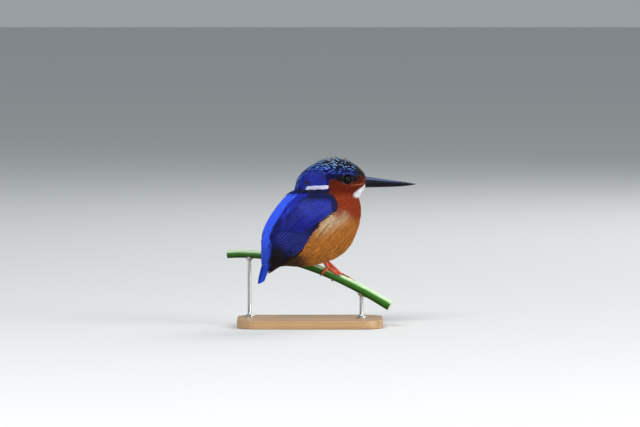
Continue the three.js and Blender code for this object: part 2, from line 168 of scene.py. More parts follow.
def paint(mesh, colours):
    """Gives vertices one colour or one each, in linear light, that materials read as "tint"."""
    layer = mesh.color_attributes.new("tint", "FLOAT_COLOR", "POINT")
    rgba = np.ones((len(mesh.vertices), 4), np.float32)
    rgba[:, :3] = colours
    layer.data.foreach_set("color", rgba.ravel())


def loft(name, rings, colours=None):
    """A closed body through rings of as many points each, with a flat fan at both ends."""
    rings = np.asarray(rings, float)
    count, sides = rings.shape[:2]
    ring = np.arange(sides)
    starts = np.arange(count - 1)[:, None] * sides
    a, b = starts + ring, starts + np.roll(ring, -1)
    quads = np.stack([a, b, b + sides, a + sides], -1).reshape(-1, 4)
    ends = count * sides + np.arange(2)
    last = (count - 1) * sides
    fan = np.stack([np.full(sides, ends[0]), np.roll(ring, -1), ring], 1)
    end_fan = np.stack([np.full(sides, ends[1]), last + ring, last + np.roll(ring, -1)], 1)
    points = np.concatenate([rings.reshape(-1, 3), rings[[0, -1]].mean(1)])
    if colours is not None:
        colours = np.asarray(colours, float)
        colours = np.concatenate([colours.reshape(-1, 3), colours[[0, -1]].mean(1)])
    return make_mesh(name, points, quads, fan, end_fan, colours=colours)


def tube_rings(line, radii, sides):
    """Rings round a line, each turned as little as can be from the one before."""
    line = np.asarray(line, float)
    ways = unit(np.gradient(line, axis=0))
    side = unit(np.cross(ways[0], (0.1, 0.2, 1)))
    turns = full_turn(sides)
    rings = []
    for place, way, radius in zip(line, ways, radii):
        side = unit(side - (side @ way) * way)
        up = np.cross(side, way)
        round_it = np.cos(turns)[:, None] * side + np.sin(turns)[:, None] * up
        rings.append(place + round_it[::-1] * np.reshape(radius, (-1, 1)))
    return np.array(rings)


def spline(controls, count):
    """A smooth line of so many even steps through some points."""
    controls = np.asarray(controls, float)
    ends = [2 * controls[0] - controls[1], *controls, 2 * controls[-1] - controls[-2]]
    fine = []
    for a, b, c, d in zip(ends, ends[1:], ends[2:], ends[3:]):
        t = np.linspace(0, 1, 16, endpoint=False)[:, None]
        fine.append(0.5 * (2 * b + (c - a) * t + (2 * a - 5 * b + 4 * c - d) * t**2
                           + (3 * b - a - 3 * c + d) * t**3))
    return even_steps(np.concatenate([*fine, controls[-1:]]), count)[1]


def mesh_points(mesh):
    """Vertices in millimetres, and vertex normals."""
    points, normals = (np.zeros(len(mesh.vertices) * 3, np.float32) for _ in range(2))
    mesh.vertices.foreach_get("co", points)
    mesh.vertices.foreach_get("normal", normals)
    return points.reshape(-1, 3).astype(float) / MM, normals.reshape(-1, 3).astype(float)


def mesh_triangles(mesh):
    """The vertices at the corners of each triangle."""
    mesh.calc_loop_triangles()
    corners = np.zeros(len(mesh.loop_triangles) * 3, np.int32)
    mesh.loop_triangles.foreach_get("vertices", corners)
    return corners.reshape(-1, 3)


def settled(piece):
    """Applies a piece's modifiers, and leaves its faces smooth."""
    graph = bpy.context.evaluated_depsgraph_get()
    mesh = bpy.data.meshes.new_from_object(piece.evaluated_get(graph))
    piece.modifiers.clear()
    piece.data = mesh
    mesh.polygons.foreach_set("use_smooth", np.ones(len(mesh.polygons), bool))


def softened(piece, rounds):
    """Smooths a piece's surface so many times."""
    soften = piece.modifiers.new("soften", "SMOOTH")
    soften.factor = 0.5
    soften.iterations = rounds
    settled(piece)


def joined(name, pieces):
    """Pieces as one mesh, each body as it was."""
    points, triangles = [], []
    count = 0
    for piece in pieces:
        points.append(mesh_points(piece.data)[0])
        triangles.append(mesh_triangles(piece.data) + count)
        count += len(points[-1])
        bpy.data.objects.remove(piece)
    return make_mesh(name, np.concatenate(points), np.concatenate(triangles))


def merged(name, pieces, voxel, rounds):
    """Pieces as one smooth skin, remeshed with cells of a size in millimetres."""
    made = joined(name, pieces)
    remesh = made.modifiers.new("remesh", "REMESH")
    remesh.mode = "VOXEL"
    remesh.voxel_size = voxel * MM
    softened(made, rounds)
    return made


def place(piece, material, slot, *nodes):
    """Finishes a piece: its material, and the CAD nodes it stands for. slot is not used."""
    piece.data.materials.clear()
    piece.data.materials.append(material)
    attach(piece, "root")
    if nodes:
        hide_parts(*nodes)
    return piece


# ---- stem and eyes ----

EYE = {"radius": 2.6, "ahead": 15.7, "up": 62.4, "out": 8.6}  # the place is in the head's frame
STEM_RADII = (2.8, 3.5)  # at the left and the right end
STEM_LEAN = math.radians(10)  # how far it runs towards -Y as it goes ahead
STEM_ARCH = [(-68, 8.7), (-30, 12), (8, -3.2), (46, -26.3)]  # ahead of FEET and above it


def bezier(controls, t):
    """Places on a curve with four control points, at t from 0 to 1."""
    a, b, c, d = np.asarray(controls, float)
    t = np.asarray(t)[..., None]
    return a * (1 - t) ** 3 + 3 * b * t * (1 - t) ** 2 + 3 * c * t**2 * (1 - t) + d * t**3


def stem_table(count=400):
    """Even steps along the stem's centre line, and its length."""
    swing = -math.tan(STEM_LEAN)
    controls = [FEET + (ahead, ahead * swing, up) for ahead, up in STEM_ARCH]
    return even_steps(bezier(controls, np.linspace(0, 1, 4 * count)), count)


STEM_SHARES, STEM_LINE, STEM_LENGTH = stem_table()
STEM_WAYS = unit(np.gradient(STEM_LINE, axis=0))


def stem_table_at(table, share):
    """A row of a table of places or ways along the stem, at a share of its length."""
    return np.stack([np.interp(share, STEM_SHARES, column) for column in table.T], -1)


def stem_radius(share):
    """The stem's radius, without its edges and ribs."""
    left, right = STEM_RADII
    return left + (right - left) * share**2


def stem_axes(share):
    """The way the stem runs, sideways towards -Y, and up from it."""
    way = stem_table_at(STEM_WAYS, share)
    near = unit(np.cross(way, (0, 0, 1.0)))
    return way, near, np.cross(near, way)


def stem_share(points):
    """The share of the stem's length that is nearest to each point."""
    share = np.interp(points[..., 0], STEM_LINE[:, 0], STEM_SHARES)
    for _ in range(3):
        off = ((points - stem_table_at(STEM_LINE, share)) * stem_table_at(STEM_WAYS, share)).sum(-1)
        share = np.clip(share + off / STEM_LENGTH, 0, 1)
    return share


def stem_at(points):
    """The nearest place on the stem's centre line, and the stem's radius there."""
    share = stem_share(points)
    return stem_table_at(STEM_LINE, share), stem_radius(share)


def eye_middle(side):
    """The middle of the left (side 1) or right (side -1) eye, in the head's frame."""
    return np.array([EYE["ahead"], side * EYE["out"], EYE["up"]])


# ---- wings' place ----

# A folded wing is laid out on the trunk's side plane: u runs from the shoulder to the wing's end,
# and v from there to the back. y, its distance from the midplane, comes from the CAD's surface.
SHOULDER = np.array([-8.0, 55.0])
WING_WAY = unit(np.array([-0.74, -0.673]))
WING_ACROSS = np.array([WING_WAY[1], -WING_WAY[0]])
WING_BACK = [(-4.3, -9.3), (0, 0), (9.9, 6.3), (22.6, 7.1), (34.6, 4.4), (42.5, 0.8), (46.5, -5.7)]
WING_FRONT = [(-4.3, -9.3), (-0.8, -16.2), (10.6, -14.7), (25, -11.1), (46.5, -5.7)]
WING_FLOAT = 8.6  # distance of the wing from the midplane where no trunk lies under it
MAP_STEP = 0.5
MAP_X = np.arange(-58, 12, MAP_STEP)
MAP_Z = np.arange(-6, 62, MAP_STEP)


def wing_uv(trunk):
    """u and v of points of the trunk's frame."""
    off = trunk[..., [0, 2]] - SHOULDER
    return off @ WING_WAY, off @ WING_ACROSS


def wing_place(u, v):
    """Where a place of the wing is on the side plane."""
    return SHOULDER + np.multiply.outer(u, WING_WAY) + np.multiply.outer(v, WING_ACROSS)


def wing_edges(u):
    """v at the front and the back edge."""
    return np.interp(u, *zip(*WING_FRONT)), np.interp(u, *zip(*WING_BACK))


def under_wing(trunk, margin=0.6, inner=9.0):
    """Whether points of the trunk's frame are covered by a wing. inner: from how far out they count."""
    u, v = wing_uv(trunk)
    front, back = wing_edges(u)
    inside = (v > front + margin) & (v < back - margin) & (u > -3.5) & (u < 46)
    return inside & (np.abs(trunk[..., 1]) > inner)


def side_heights(*names):
    """How far out CAD nodes of the left side reach, over a grid of the trunk's side plane."""
    heights = np.zeros((len(MAP_X), len(MAP_Z)))
    for name in names:
        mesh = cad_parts[name].data
        points = to_bird(mesh_points(mesh)[0], TRUNK_YAW)
        tree = BVHTree.FromPolygons(points.tolist(), [tuple(p.vertices) for p in mesh.polygons])
        for i, x in enumerate(MAP_X):
            for j, z in enumerate(MAP_Z):
                hit = tree.ray_cast((x, 60, z), (0, -1, 0))[0]
                if hit:
                    heights[i, j] = max(heights[i, j], hit[1])
    return heights


def blurred(heights, times):
    """A height map with its bumps evened out so many times."""
    for _ in range(times):
        for axis in (0, 1):
            wide = np.concatenate([heights.take([0], axis), heights, heights.take([-1], axis)], axis)
            count = heights.shape[axis]
            heights = sum(wide.take(range(k, k + count), axis) for k in (0, 1, 1, 2)) / 4
    return heights


def over_map(heights, x, z):
    """A map's height between its grid's points."""
    i = np.clip((x - MAP_X[0]) / MAP_STEP, 0, len(MAP_X) - 1.01)
    j = np.clip((z - MAP_Z[0]) / MAP_STEP, 0, len(MAP_Z) - 1.01)
    a, b = i.astype(int), j.astype(int)
    p, q = i - a, j - b
    near = heights[a, b] * (1 - q) + heights[a, b + 1] * q
    far = heights[a + 1, b] * (1 - q) + heights[a + 1, b + 1] * q
    return near * (1 - p) + far * p


def on_wing(heights, side, roots, ways, lengths, bends, steps=6):
    """Lines over a height map, as walk gives them, from roots in x and z on the side plane.

    bends is how much each line's heading turns towards the ground over its length.
    """
    places, normals = [], []
    flat = np.array(roots, float)
    turn = np.arctan2(ways[:, 1], ways[:, 0])
    for step in range(steps + 1):
        x, z = flat.T
        y = over_map(heights, x, z)
        slope_x = over_map(heights, x + 1, z) - over_map(heights, x - 1, z)
        slope_z = over_map(heights, x, z + 1) - over_map(heights, x, z - 1)
        places.append(np.stack([x, side * y, z], 1))
        normals.append(unit(np.stack([-slope_x / 2, side * np.ones(len(x)), -slope_z / 2], 1)))
        heading = turn + bends * step / steps
        flat = flat + np.stack([np.cos(heading), np.sin(heading)], 1) * (lengths / steps)[:, None]
    places = to_world(np.stack(places, 1), TRUNK_YAW)
    normals = turned(np.stack(normals, 1), TRUNK_YAW)
    return [places, normals, unit(np.gradient(places, axis=1))]


# ---- markings ----


def srgb(red, green, blue):
    """A colour given in 0 to 255 as linear light."""
    c = np.array([red, green, blue]) / 255
    return np.where(c < 0.04045, c / 12.92, ((c + 0.055) / 1.055) ** 2.4)


BLACK = srgb(14, 15, 20)
CROWN_BLACK = srgb(9, 15, 36)
CROWN_BLUE = srgb(17, 26, 112)
BLUE_BAR = srgb(66, 98, 206)
PALE_BAR = srgb(92, 148, 216)
CROWN_SHEEN = srgb(176, 190, 218)
RUFOUS = srgb(110, 33, 12)
EAR_SPOT = srgb(74, 34, 8)
LORES = srgb(52, 22, 8)
FOREHEAD = srgb(22, 25, 22)
WHITE = srgb(246, 246, 250)
BREAST = srgb(143, 56, 28)
# painted rim light down the front of the breast
BREAST_RIM_LIGHT = srgb(204, 134, 92)
BELLY = srgb(172, 108, 46)
FLANK = srgb(198, 170, 136)
# painted shade over the vent and the lower belly
VENT_SHADE = srgb(70, 50, 32)
BACK = srgb(62, 102, 255)
MANTLE = srgb(30, 36, 150)
PATCH_WHITE = srgb(214, 214, 236)
COVERT = srgb(17, 23, 108)
SHOULDER_BLUE = srgb(32, 42, 132)
# dark navy: painted shade where wing meets neck and at the wing's front, and the darker ends of the coverts
WING_DARK_AND_SHADE = srgb(14, 18, 46)
WING_RIM = srgb(18, 22, 112)
QUILL = srgb(12, 18, 62)
TERTIAL = srgb(17, 23, 84)
QUILL_EDGE = srgb(46, 55, 148)
WING_TIP = srgb(14, 13, 15)
TAIL_BLUE = srgb(34, 64, 190)
GAPE = srgb(156, 84, 64)
MASK = srgb(16, 18, 22)  # round the eye
BILL_HORN = srgb(6, 7, 9)
BILL_SKY_REFLECTION = srgb(72, 82, 112)  # painted sky reflection along the ridge and low on the side of the upper half
BILL_ROOT_TONE = srgb(34, 26, 26)
IRIS = srgb(15, 10, 8)
PUPIL_BLACK = srgb(6, 6, 7)
LID = srgb(10, 10, 12)
LEG_RED = srgb(200, 82, 42)
STEM_GREEN = srgb(42, 92, 14)
# painted highlight on the stem's top
STEM_TOP_HIGHLIGHT = srgb(190, 222, 172)
# painted shade on the stem's underside; also the skin at its cut rims
STEM_DARK = srgb(22, 60, 10)
PITH = srgb(206, 204, 160)

# Lines on the head's side, as (x, z): the lower edge of the barred crown, and the white neck patch.
CROWN_EDGE = [(-20, 53), (-18.5, 57), (-16.6, 61.5), (-14.5, 65), (-10, 66.6), (-4, 67), (0, 67),
              (4, 66.8), (8.2, 66.3), (14.5, 65.7), (21, 65), (30, 64.4)]
NECK_PATCH = {"from": (-14.2, 56.2), "to": (3.0, 57.2), "half": (1.3, 1.15)}


def over_edge(head):
    """How far above the crown's lower edge places of the head's frame are."""
    return head[:, 2] - np.interp(head[:, 0], *zip(*CROWN_EDGE))


def crown_share(head):
    """1 on the barred crown, 0 below it."""
    return smooth(over_edge(head) + 0.5 * waves(head, 5), -0.5, 0.5)


def neck_patch_share(head):
    """1 on the white patch at the side of the neck."""
    (x0, z0), (x1, z1) = NECK_PATCH["from"], NECK_PATCH["to"]
    along = (head[:, 0] - x0) / (x1 - x0)
    half = np.interp(along, [0, 1], NECK_PATCH["half"])
    level = z0 + (z1 - z0) * along
    off = np.abs(head[:, 2] - level) / half
    ends = np.maximum(np.abs(along - 0.5) * 2 - 0.86, 0) / 0.14
    return 1 - smooth(off**2 + ends**2, 0.85, 1.15)


def back_share(trunk, wobble=0):
    """1 on the blue back, down to the tail, and 0 on the underparts."""
    along = (trunk[:, 0] + 38) * 0.632 + (trunk[:, 2] - 6) * 0.775
    above = (trunk[:, 2] - 6) * 0.632 - (trunk[:, 0] + 38) * 0.775
    edge = np.interp(along, [-11, -4, 2, 8, 20], [-2, 2.5, 6.5, 9, 9])
    return smooth(above - edge + wobble, -1, 1) * (1 - smooth(trunk[:, 2], 54, 58))


def underparts(trunk, wobble):
    """Rufous breast, buff belly and pale flank beside the wing, with painted shade on the vent, a painted
    shadow under the wing's end and the tail, and a painted rim light down the breast.
    """
    x, side, z = trunk[:, 0], np.abs(trunk[:, 1]), trunk[:, 2]
    # painted shadow under the wing's end, black low down and navy higher up
    wing_shadow = smooth(z - x, 32, 36.5) * smooth(-x - 0.6 * z, 16, 21)
    return painted(
        BELLY,
        (FLANK, smooth(z - 0.55 * x, 22, 34) * smooth(side, 8, 15) * smooth(x, -14, -2)),
        # painted shade over the vent and the lower belly
        (VENT_SHADE, smooth(-x - 0.6 * z, 9, 20)),
        (mix(BLACK, QUILL, smooth(z, 9, 14)), 0.8 * wing_shadow),
        (BREAST, smooth(z + 0.35 * x + 1.5 * wobble, 35.5, 44)),
        # painted rim light down the front of the breast
        (BREAST_RIM_LIGHT, (1 - smooth(side, 0, 8)) * smooth(x, 8, 13) * smooth(z, 20, 32)),
    )


def upperparts(trunk, wobble):
    """A brilliant strip down the back between deep blue sides, darker low down."""
    blue = mix(MANTLE, BACK, 1 - smooth(np.abs(trunk[:, 1]) + wobble, 7, 13))
    return mix(blue, 0.55 * blue, 1 - smooth(trunk[:, 2], 6, 28))


def with_face(colour, head, wobble):
    """Adds blue over and behind the eye, an ochre spot on the ear, dark lores, forehead and mask."""
    x, z = head[:, 0], head[:, 2]
    colour = mix(colour, CROWN_BLUE, smooth(z - 0.1 * x + 0.4 * wobble, 61, 62.5) * smooth(-x, -16, -10))
    blueness = smooth(colour[:, 2] - colour[:, 0], 0, 0.02)
    shaded = smooth(x, -8, 3) * (1 - smooth(z, 66.5, 70)) * smooth(z, 60, 63)
    ear = np.hypot(x - 5.4, (z - 60.6) * 1.2)
    behind = smooth(-x, -14, -8)
    mask_length = 6 + 3.5 * (x < 15.4)
    mask_height = 3.7 - 1.5 * behind
    mask = ((x - 15.4) / mask_length) ** 2 + ((z - 62.4 - 0.6 * behind) / mask_height) ** 2
    nape_spot = np.hypot((x + 13) * 0.8, z - 60.4)
    return painted(
        colour,
        (CROWN_BLACK, 0.72 * shaded * blueness),
        (EAR_SPOT, 0.6 * (1 - smooth(ear, 1, 4))),
        (LORES, smooth(x, 17, 19) * smooth(z, 60, 61) * (1 - 0.6 * smooth(x, 23, 26))),
        (FOREHEAD, smooth(x, 21, 24) * smooth(z, 64, 65.5)),
        (MASK, 1 - smooth(mask + 0.15 * wobble, 0.6, 1.1)),
        (BLACK, 0.8 * (1 - smooth(nape_spot, 0.8, 2.8))),
    )


def crown_colour(head):
    """Black towards the top and the forehead, blue towards the lower edge and the back."""
    height = smooth(over_edge(head), 0, 7)
    blueness = (0.95 - 0.5 * smooth(head[:, 0], -8, 4)) * (1 - height)
    return painted(CROWN_BLACK, (CROWN_BLUE, blueness), (FOREHEAD, smooth(head[:, 0], 20, 24)))


def with_whites(colour, head, patch):
    """Adds the white throat, the white neck patch and a painted shadow in a line under it."""
    x, side, z = head[:, 0], np.abs(head[:, 1]), head[:, 2]
    throat = smooth(x - 1.35 * z, -51.8, -50) * smooth(z, 48.5, 49.5)
    # under: a painted shadow in a line under the neck patch
    under = smooth(z, 52.2, 53.6) * (1 - smooth(z, 55, 56)) * smooth(-x, -3, 0) * smooth(side, 5, 9)
    return painted(
        colour,
        (WHITE, throat * (1 - smooth(side, 6, 8))),
        (BLACK, 0.85 * under),
        (WHITE, patch * neck_patch_share(head) * smooth(side, 6, 8)),
    )


def markings(points, patch=True):
    """The plumage's colour at points of the body, with or without the white neck patch."""
    head = to_bird(points, HEAD_YAW)
    trunk = to_bird(points, TRUNK_YAW)
    wobble = waves(points, 6)
    x, z = head[:, 0], head[:, 2]
    colour = painted(
        underparts(trunk, wobble),
        (RUFOUS, smooth(z, 49, 54)),
        (upperparts(trunk, wobble), back_share(trunk, wobble)),
        (CROWN_BLUE, smooth(-x + 0.5 * wobble, -1.7, -1.3) * smooth(z, 50, 53)),
    )
    colour = mix(with_face(colour, head, wobble), crown_colour(head), crown_share(head))
    return with_whites(colour, head, patch)


# ---- skin ----

FLESH = ["head", "neck", "trunk", "wing_left", "wing_right"]
SEAM_SWELL = 0.2  # closes the thin cuts between the CAD nodes
SKIN_VOXEL = 0.5
SKIN_SMOOTHING = 12
SKIN_SHADE = 0.85  # how dark the skin is against the feathers over it
WING_COAT = 0.9  # how far the wings are drawn in sideways, to make room for their feathers
WING_DEPTH = 0.1  # and how much deeper the skin lies there
CHIN = {"up": 54.2, "height": 2.2, "tuck": 1.7}  # where and how far the chin is drawn in


def from_bill(points):
    """How far places are from where the feathers part round the bill."""
    return np.linalg.norm(to_bird(points, HEAD_YAW) - BILL_ROOT, axis=1)


def coat_depth(points):
    """How deep the feathers of head and body are: thin by the bill, deep on the belly."""
    return 0.35 + 1.65 * smooth(from_bill(points), 0, 48)


def feather_length(points):
    """How long the feathers of head and body are: short by the bill, long on the belly."""
    return 1.9 + 5.2 * smooth(from_bill(points), 2, 64)


def make_skin():
    """One skin for head, neck, trunk and wings, as deep inside them as the coat is thick."""
    copies = []
    for name in FLESH:
        copy = bpy.data.objects.new("skin_" + name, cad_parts[name].data.copy())
        bpy.context.scene.collection.objects.link(copy)
        swell = copy.modifiers.new("swell", "DISPLACE")
        swell.strength = SEAM_SWELL * MM
        swell.mid_level = 0
        settled(copy)
        if name.startswith("wing"):
            inwards = turned([0, -WING_COAT if name == "wing_left" else WING_COAT, 0], TRUNK_YAW)
            copy.data.transform(Matrix.Translation(inwards * MM))
        copies.append(copy)
    skin = merged("skin", copies, SKIN_VOXEL, SKIN_SMOOTHING)
    points, normals = mesh_points(skin.data)
    winged = under_wing(to_bird(points, TRUNK_YAW), margin=0)
    points -= normals * (np.where(winged, WING_DEPTH, coat_depth(points)) + SEAM_SWELL)[:, None]
    head = to_bird(points, HEAD_YAW)
    chin = np.exp(-(((head[:, 2] - CHIN["up"]) / CHIN["height"]) ** 2)) * smooth(head[:, 0], 21, 27)
    head[:, 0] -= CHIN["tuck"] * chin * (1 - smooth(np.abs(head[:, 1]), 2, 7))
    points = to_world(head, HEAD_YAW)
    skin.data.vertices.foreach_set("co", (points * MM).astype(np.float32).ravel())
    skin.data.update()
    softened(skin, 4)
    points = mesh_points(skin.data)[0]
    colours = markings(points)
    colours[under_wing(to_bird(points, TRUNK_YAW), margin=0) | over_wing(points)] = QUILL
    paint(skin.data, SKIN_SHADE * colours)
    return skin


# ---- where feathers point ----

# The lie of the coat on the bird's side: places (x, z) and the directions there.
LIE = [
    ((26, 68), (-0.7, 0.7)), ((16, 76), (-1, 0.25)), ((2, 78), (-1, -0.1)), ((-10, 73), (-0.85, -0.5)),
    ((-18, 64), (-0.45, -0.9)), ((-20, 54), (-0.4, -0.9)), ((22, 62), (-1, 0.05)), ((8, 62), (-1, -0.12)),
    ((-6, 58), (-1, -0.3)), ((20, 54), (-0.8, -0.6)), ((16, 46), (-0.45, -0.9)), ((24, 30), (-0.2, -1)),
    ((22, 14), (-0.55, -0.85)), ((6, 2), (-0.95, -0.3)), ((-14, 0), (-0.95, -0.3)), ((4, 30), (-0.45, -0.9)),
    ((-10, 14), (-0.7, -0.7)), ((-30, 4), (-0.75, -0.65)), ((-22, 52), (-0.6, -0.8)),
    ((-34, 38), (-0.55, -0.83)), ((-42, 22), (-0.35, -0.94)), ((-46, 8), (-0.3, -0.95)),
    ((-8, 48), (-0.75, -0.65)), ((8, 50), (-0.25, -0.97)), ((4, 42), (-0.5, -0.87)),
]
LIE_YAW = (HEAD_YAW + TRUNK_YAW) / 2


def lie(points):
    """The direction in which feathers point at places of the body, before it is laid on the skin."""
    bird = to_bird(points, LIE_YAW)
    places = np.array([place for place, _ in LIE], float)
    ways = unit(np.array([way for _, way in LIE], float))
    gaps = ((bird[:, None, [0, 2]] - places) ** 2).sum(-1)
    weights = 1 / (gaps + 4) ** 2
    flat = unit(weights @ ways / weights.sum(1, keepdims=True))
    way = turned(np.stack([flat[:, 0], np.zeros(len(flat)), flat[:, 1]], 1), LIE_YAW)
    off = to_bird(points, HEAD_YAW) - BILL_ROOT
    near = 1 - smooth(np.linalg.norm(off, axis=1), 2, 12)
    off[:, 0] = np.minimum(off[:, 0], -1)
    return unit(way + 1.6 * near[:, None] * turned(unit(off), HEAD_YAW))


def tree_of(points):
    """A search tree of points."""
    tree = KDTree(len(points))
    for i, point in enumerate(points):
        tree.insert(point, i)
    tree.balance()
    return tree


class Ground:
    """The skin as something to walk on: the nearest place and normal to any point."""

    def __init__(self, piece):
        self.points, self.normals = mesh_points(piece.data)
        self.tree = tree_of(self.points)

    def drop(self, points):
        """Points brought down to the surface along its smooth normals, and those normals."""
        near = [[(i, d) for _, i, d in self.tree.find_n(p, 4)] for p in points]
        index = np.array([[i for i, _ in row] for row in near])
        weights = 1 / (np.array([[d for _, d in row] for row in near]) + 0.05)
        weights = (weights / weights.sum(1, keepdims=True))[..., None]
        base = (self.points[index] * weights).sum(1)
        normals = unit((self.normals[index] * weights).sum(1))
        return points - ((points - base) * normals).sum(1, keepdims=True) * normals, normals


# ---- one feather ----


def feather_shape(barbs, notch, rake=0.3, widest=0.6, ragged=0.06, seed=0, webs=(1, 1)):
    """A feather as a thin closed lens with a ridge on each barb and a cut between every two.

    Gives s (0 at the root, 1 at the tip), x (-1 to 1 over the width), z (-1 to 1 over the
    thickness), shade (1, or darker in the cuts), and triangles. notch is how far the cuts
    reach in from the edge, and rake is how far the barbs slant towards the tip.
    """
    dice = np.random.default_rng(seed)
    ends = np.linspace(0.12, 0.97, barbs)
    shaft = [*ends * (1 - rake), 1 - 0.6 * rake]
    vertices = [(0, 0, 0, 1)]  # s, x, z, shade
    vertices += [(s, 0, 1, 1) for s in shaft]
    vertices += [(s, 0, -0.8, 1) for s in shaft]
    top, under = range(1, barbs + 2), range(barbs + 2, 2 * barbs + 3)
    tip = len(vertices)
    vertices.append((1, 0, 0, 1))
    faces = []
    for way, web in zip((1, -1), webs):
        rise = np.minimum(ends / widest, 1) ** 0.6
        fall = np.clip((ends - widest) / (1 - widest), 0, 1)
        widths = web * rise * np.sqrt(1 - 0.96 * fall**2.2) * (1 + ragged * dice.uniform(-1, 1, barbs))
        tips = ends + ragged * 0.5 * dice.uniform(-1, 1, barbs)
        outer = [(s, way * w) for s, w in zip(tips, widths)] + [(1, 0)]
        inner = [(s, 0) for s in shaft]
        cuts = [len(vertices)]
        vertices.append((0.03, way * web * 0.16, 0, 1))
        ridges = []
        for j in range(barbs):
            middle = [np.mean([pair[j], pair[j + 1]], axis=0) for pair in (outer, inner)]
            cut = middle[0] + (middle[1] - middle[0]) * notch * dice.uniform(0.7, 1.3)
            ridges.append(len(vertices))
            vertices.append((*outer[j], 0.25, 1))
            cuts.append(len(vertices))
            vertices.append((*cut, -0.3, 0.8))
        for middle, up in ((top, 1), (under, -1)):
            fan = web_faces(middle, cuts, ridges, tip)
            faces += fan if way * up > 0 else [corners[::-1] for corners in fan]
    return shape_of(vertices, faces)


def web_faces(middle, cuts, ridges, tip):
    """Triangles of one face of a web, from the shaft's vertices to those of its edge."""
    fan = [(0, cuts[0], middle[0])]
    for j, ridge in enumerate(ridges):
        fan.append((middle[j], cuts[j], ridge))
        fan.append((middle[j], ridge, cuts[j + 1]))
        fan.append((middle[j], cuts[j + 1], middle[j + 1]))
    return fan + [(middle[-1], cuts[-1], tip)]


def shape_of(vertices, faces):
    """A shape from its vertices' s, x, z and shade, and its triangles."""
    s, x, z, shade = np.array(vertices).T
    return {"s": s, "x": x, "z": z, "shade": shade, "faces": np.array(faces)}


def plume_shape(strands, seed=0, sweep=0.42, core=0.5, ragged=0.1):
    """A soft feather: a narrow vane, and thin closed strands from its shaft to a loose edge."""
    vane = feather_shape(barbs=1, notch=0.0, ragged=ragged, seed=seed)
    dice = np.random.default_rng(seed + 50)
    vertices = np.stack([0.92 * vane["s"], core * vane["x"], vane["z"], vane["shade"]], 1).tolist()
    faces = vane["faces"].tolist()
    for way in (1, -1):
        for end in np.linspace(0.3, 0.98, strands):
            width = min(end / 0.55, 1) ** 0.6 * math.sqrt(1 - 0.9 * max((end - 0.55) / 0.45, 0) ** 2)
            tip_s = end + ragged * dice.uniform(-0.5, 0.5)
            tip = (tip_s, way * width * (1 + ragged * dice.uniform(-1, 1)), 0.2)
            root = end * (1 - sweep) - 0.03
            shade = dice.uniform(0.82, 1.12)
            corners = np.array([(root - 0.05, 0, 0), (root + 0.05, 0, 0), (root, 0.04 * way, 1.3), tip])
            first = len(vertices)
            vertices += [(*corner, shade) for corner in corners]
            a, b, c, d = range(first, first + 4)
            sides = [(a, c, b), (a, b, d), (b, c, d), (c, a, d)]
            volume = np.linalg.det(corners[1:] - corners[0])
            faces += [side[::-1] for side in sides] if volume > 0 else sides
    return shape_of(vertices, faces)


TRUNK_END = 23.0  # how far down the trunk reaches, as endwards counts it
LIE_PULL = 0.35  # how much a line turns into the coat's lie at each step
OVERHANG = 0.8  # how much of their fall from the trunk's end lines leave out, to stand out over it


def endwards(points):
    """How far down towards the tail places are."""
    trunk = to_bird(points, TRUNK_YAW)
    return 0.55 * -trunk[:, 0] - 0.83 * trunk[:, 2]


def walk(ground, roots, ways, lengths, steps=5):
    """Lines over the skin from each root, with the coat's lie: places, normals and headings."""
    place, normal = ground.drop(roots)
    way = tangent(ways, normal)
    line = [(place, normal, way)]
    step = (lengths / steps)[:, None]
    for _ in range(steps):
        ahead = place + way * step
        place, normal = ground.drop(ahead)
        off = (ahead - place) * OVERHANG * smooth(endwards(ahead), TRUNK_END - 9, TRUNK_END - 4)[:, None]
        place = place + off
        normal = unit(normal + (np.linalg.norm(off, axis=1, keepdims=True) > 0) * line[-1][1])
        way = tangent(way + LIE_PULL * lie(place), normal)
        line.append((place, normal, way))
    return [np.stack(part, 1) for part in zip(*line)]


def along(values, s):
    """Values given at even steps of a line, at other shares s of it."""
    steps = values.shape[1] - 1
    index = np.clip((s * steps).astype(int), 0, steps - 1)
    share = np.clip(s * steps - index, 0, 1)[:, None]
    return values[:, index] * (1 - share) + values[:, index + 1] * share


def lay(shape, line, widths, heights, thickness, roll, tilt=0.12, cup=0.06):
    """A shape's vertices for every feather of a set, bent along their lines.

    heights are those of root and tip over the line. Most of the rise is near the root, and tilt
    is the share of it that is even over the whole length. roll lifts one edge, cup lowers both.
    """
    places, normals, ways = (along(part, shape["s"]) for part in line)
    sides = unit(np.cross(ways, normals))
    normals = unit(normals)
    s, x, z = shape["s"], shape["x"], shape["z"]
    root, tip = heights
    tilt = np.reshape(tilt, (-1, 1))
    climb = (1 - tilt) * (1 - np.clip(1 - s, 0, 1) ** 4) + tilt * s
    rise = root[:, None] + (tip - root)[:, None] * climb
    lens = thickness * z * (1 - 0.6 * s)
    height = rise + lens + roll[:, None] * x * s - cup * widths[:, None] * x**2
    return places + sides * (x * widths[:, None])[..., None] + normals * height[..., None]


ROLL = 0.03  # how unevenly feathers are rolled, in millimetres at their edges


def lay_own(shape, own, line, widths, heights, thickness, tilt=0.12):
    """Lays those feathers of a set that are picked by own, each rolled a little."""
    return lay(shape, [part[own] for part in line], widths[own], [height[own] for height in heights],
               thickness, random.normal(0, ROLL, own.sum()), np.broadcast_to(tilt, own.shape)[own])


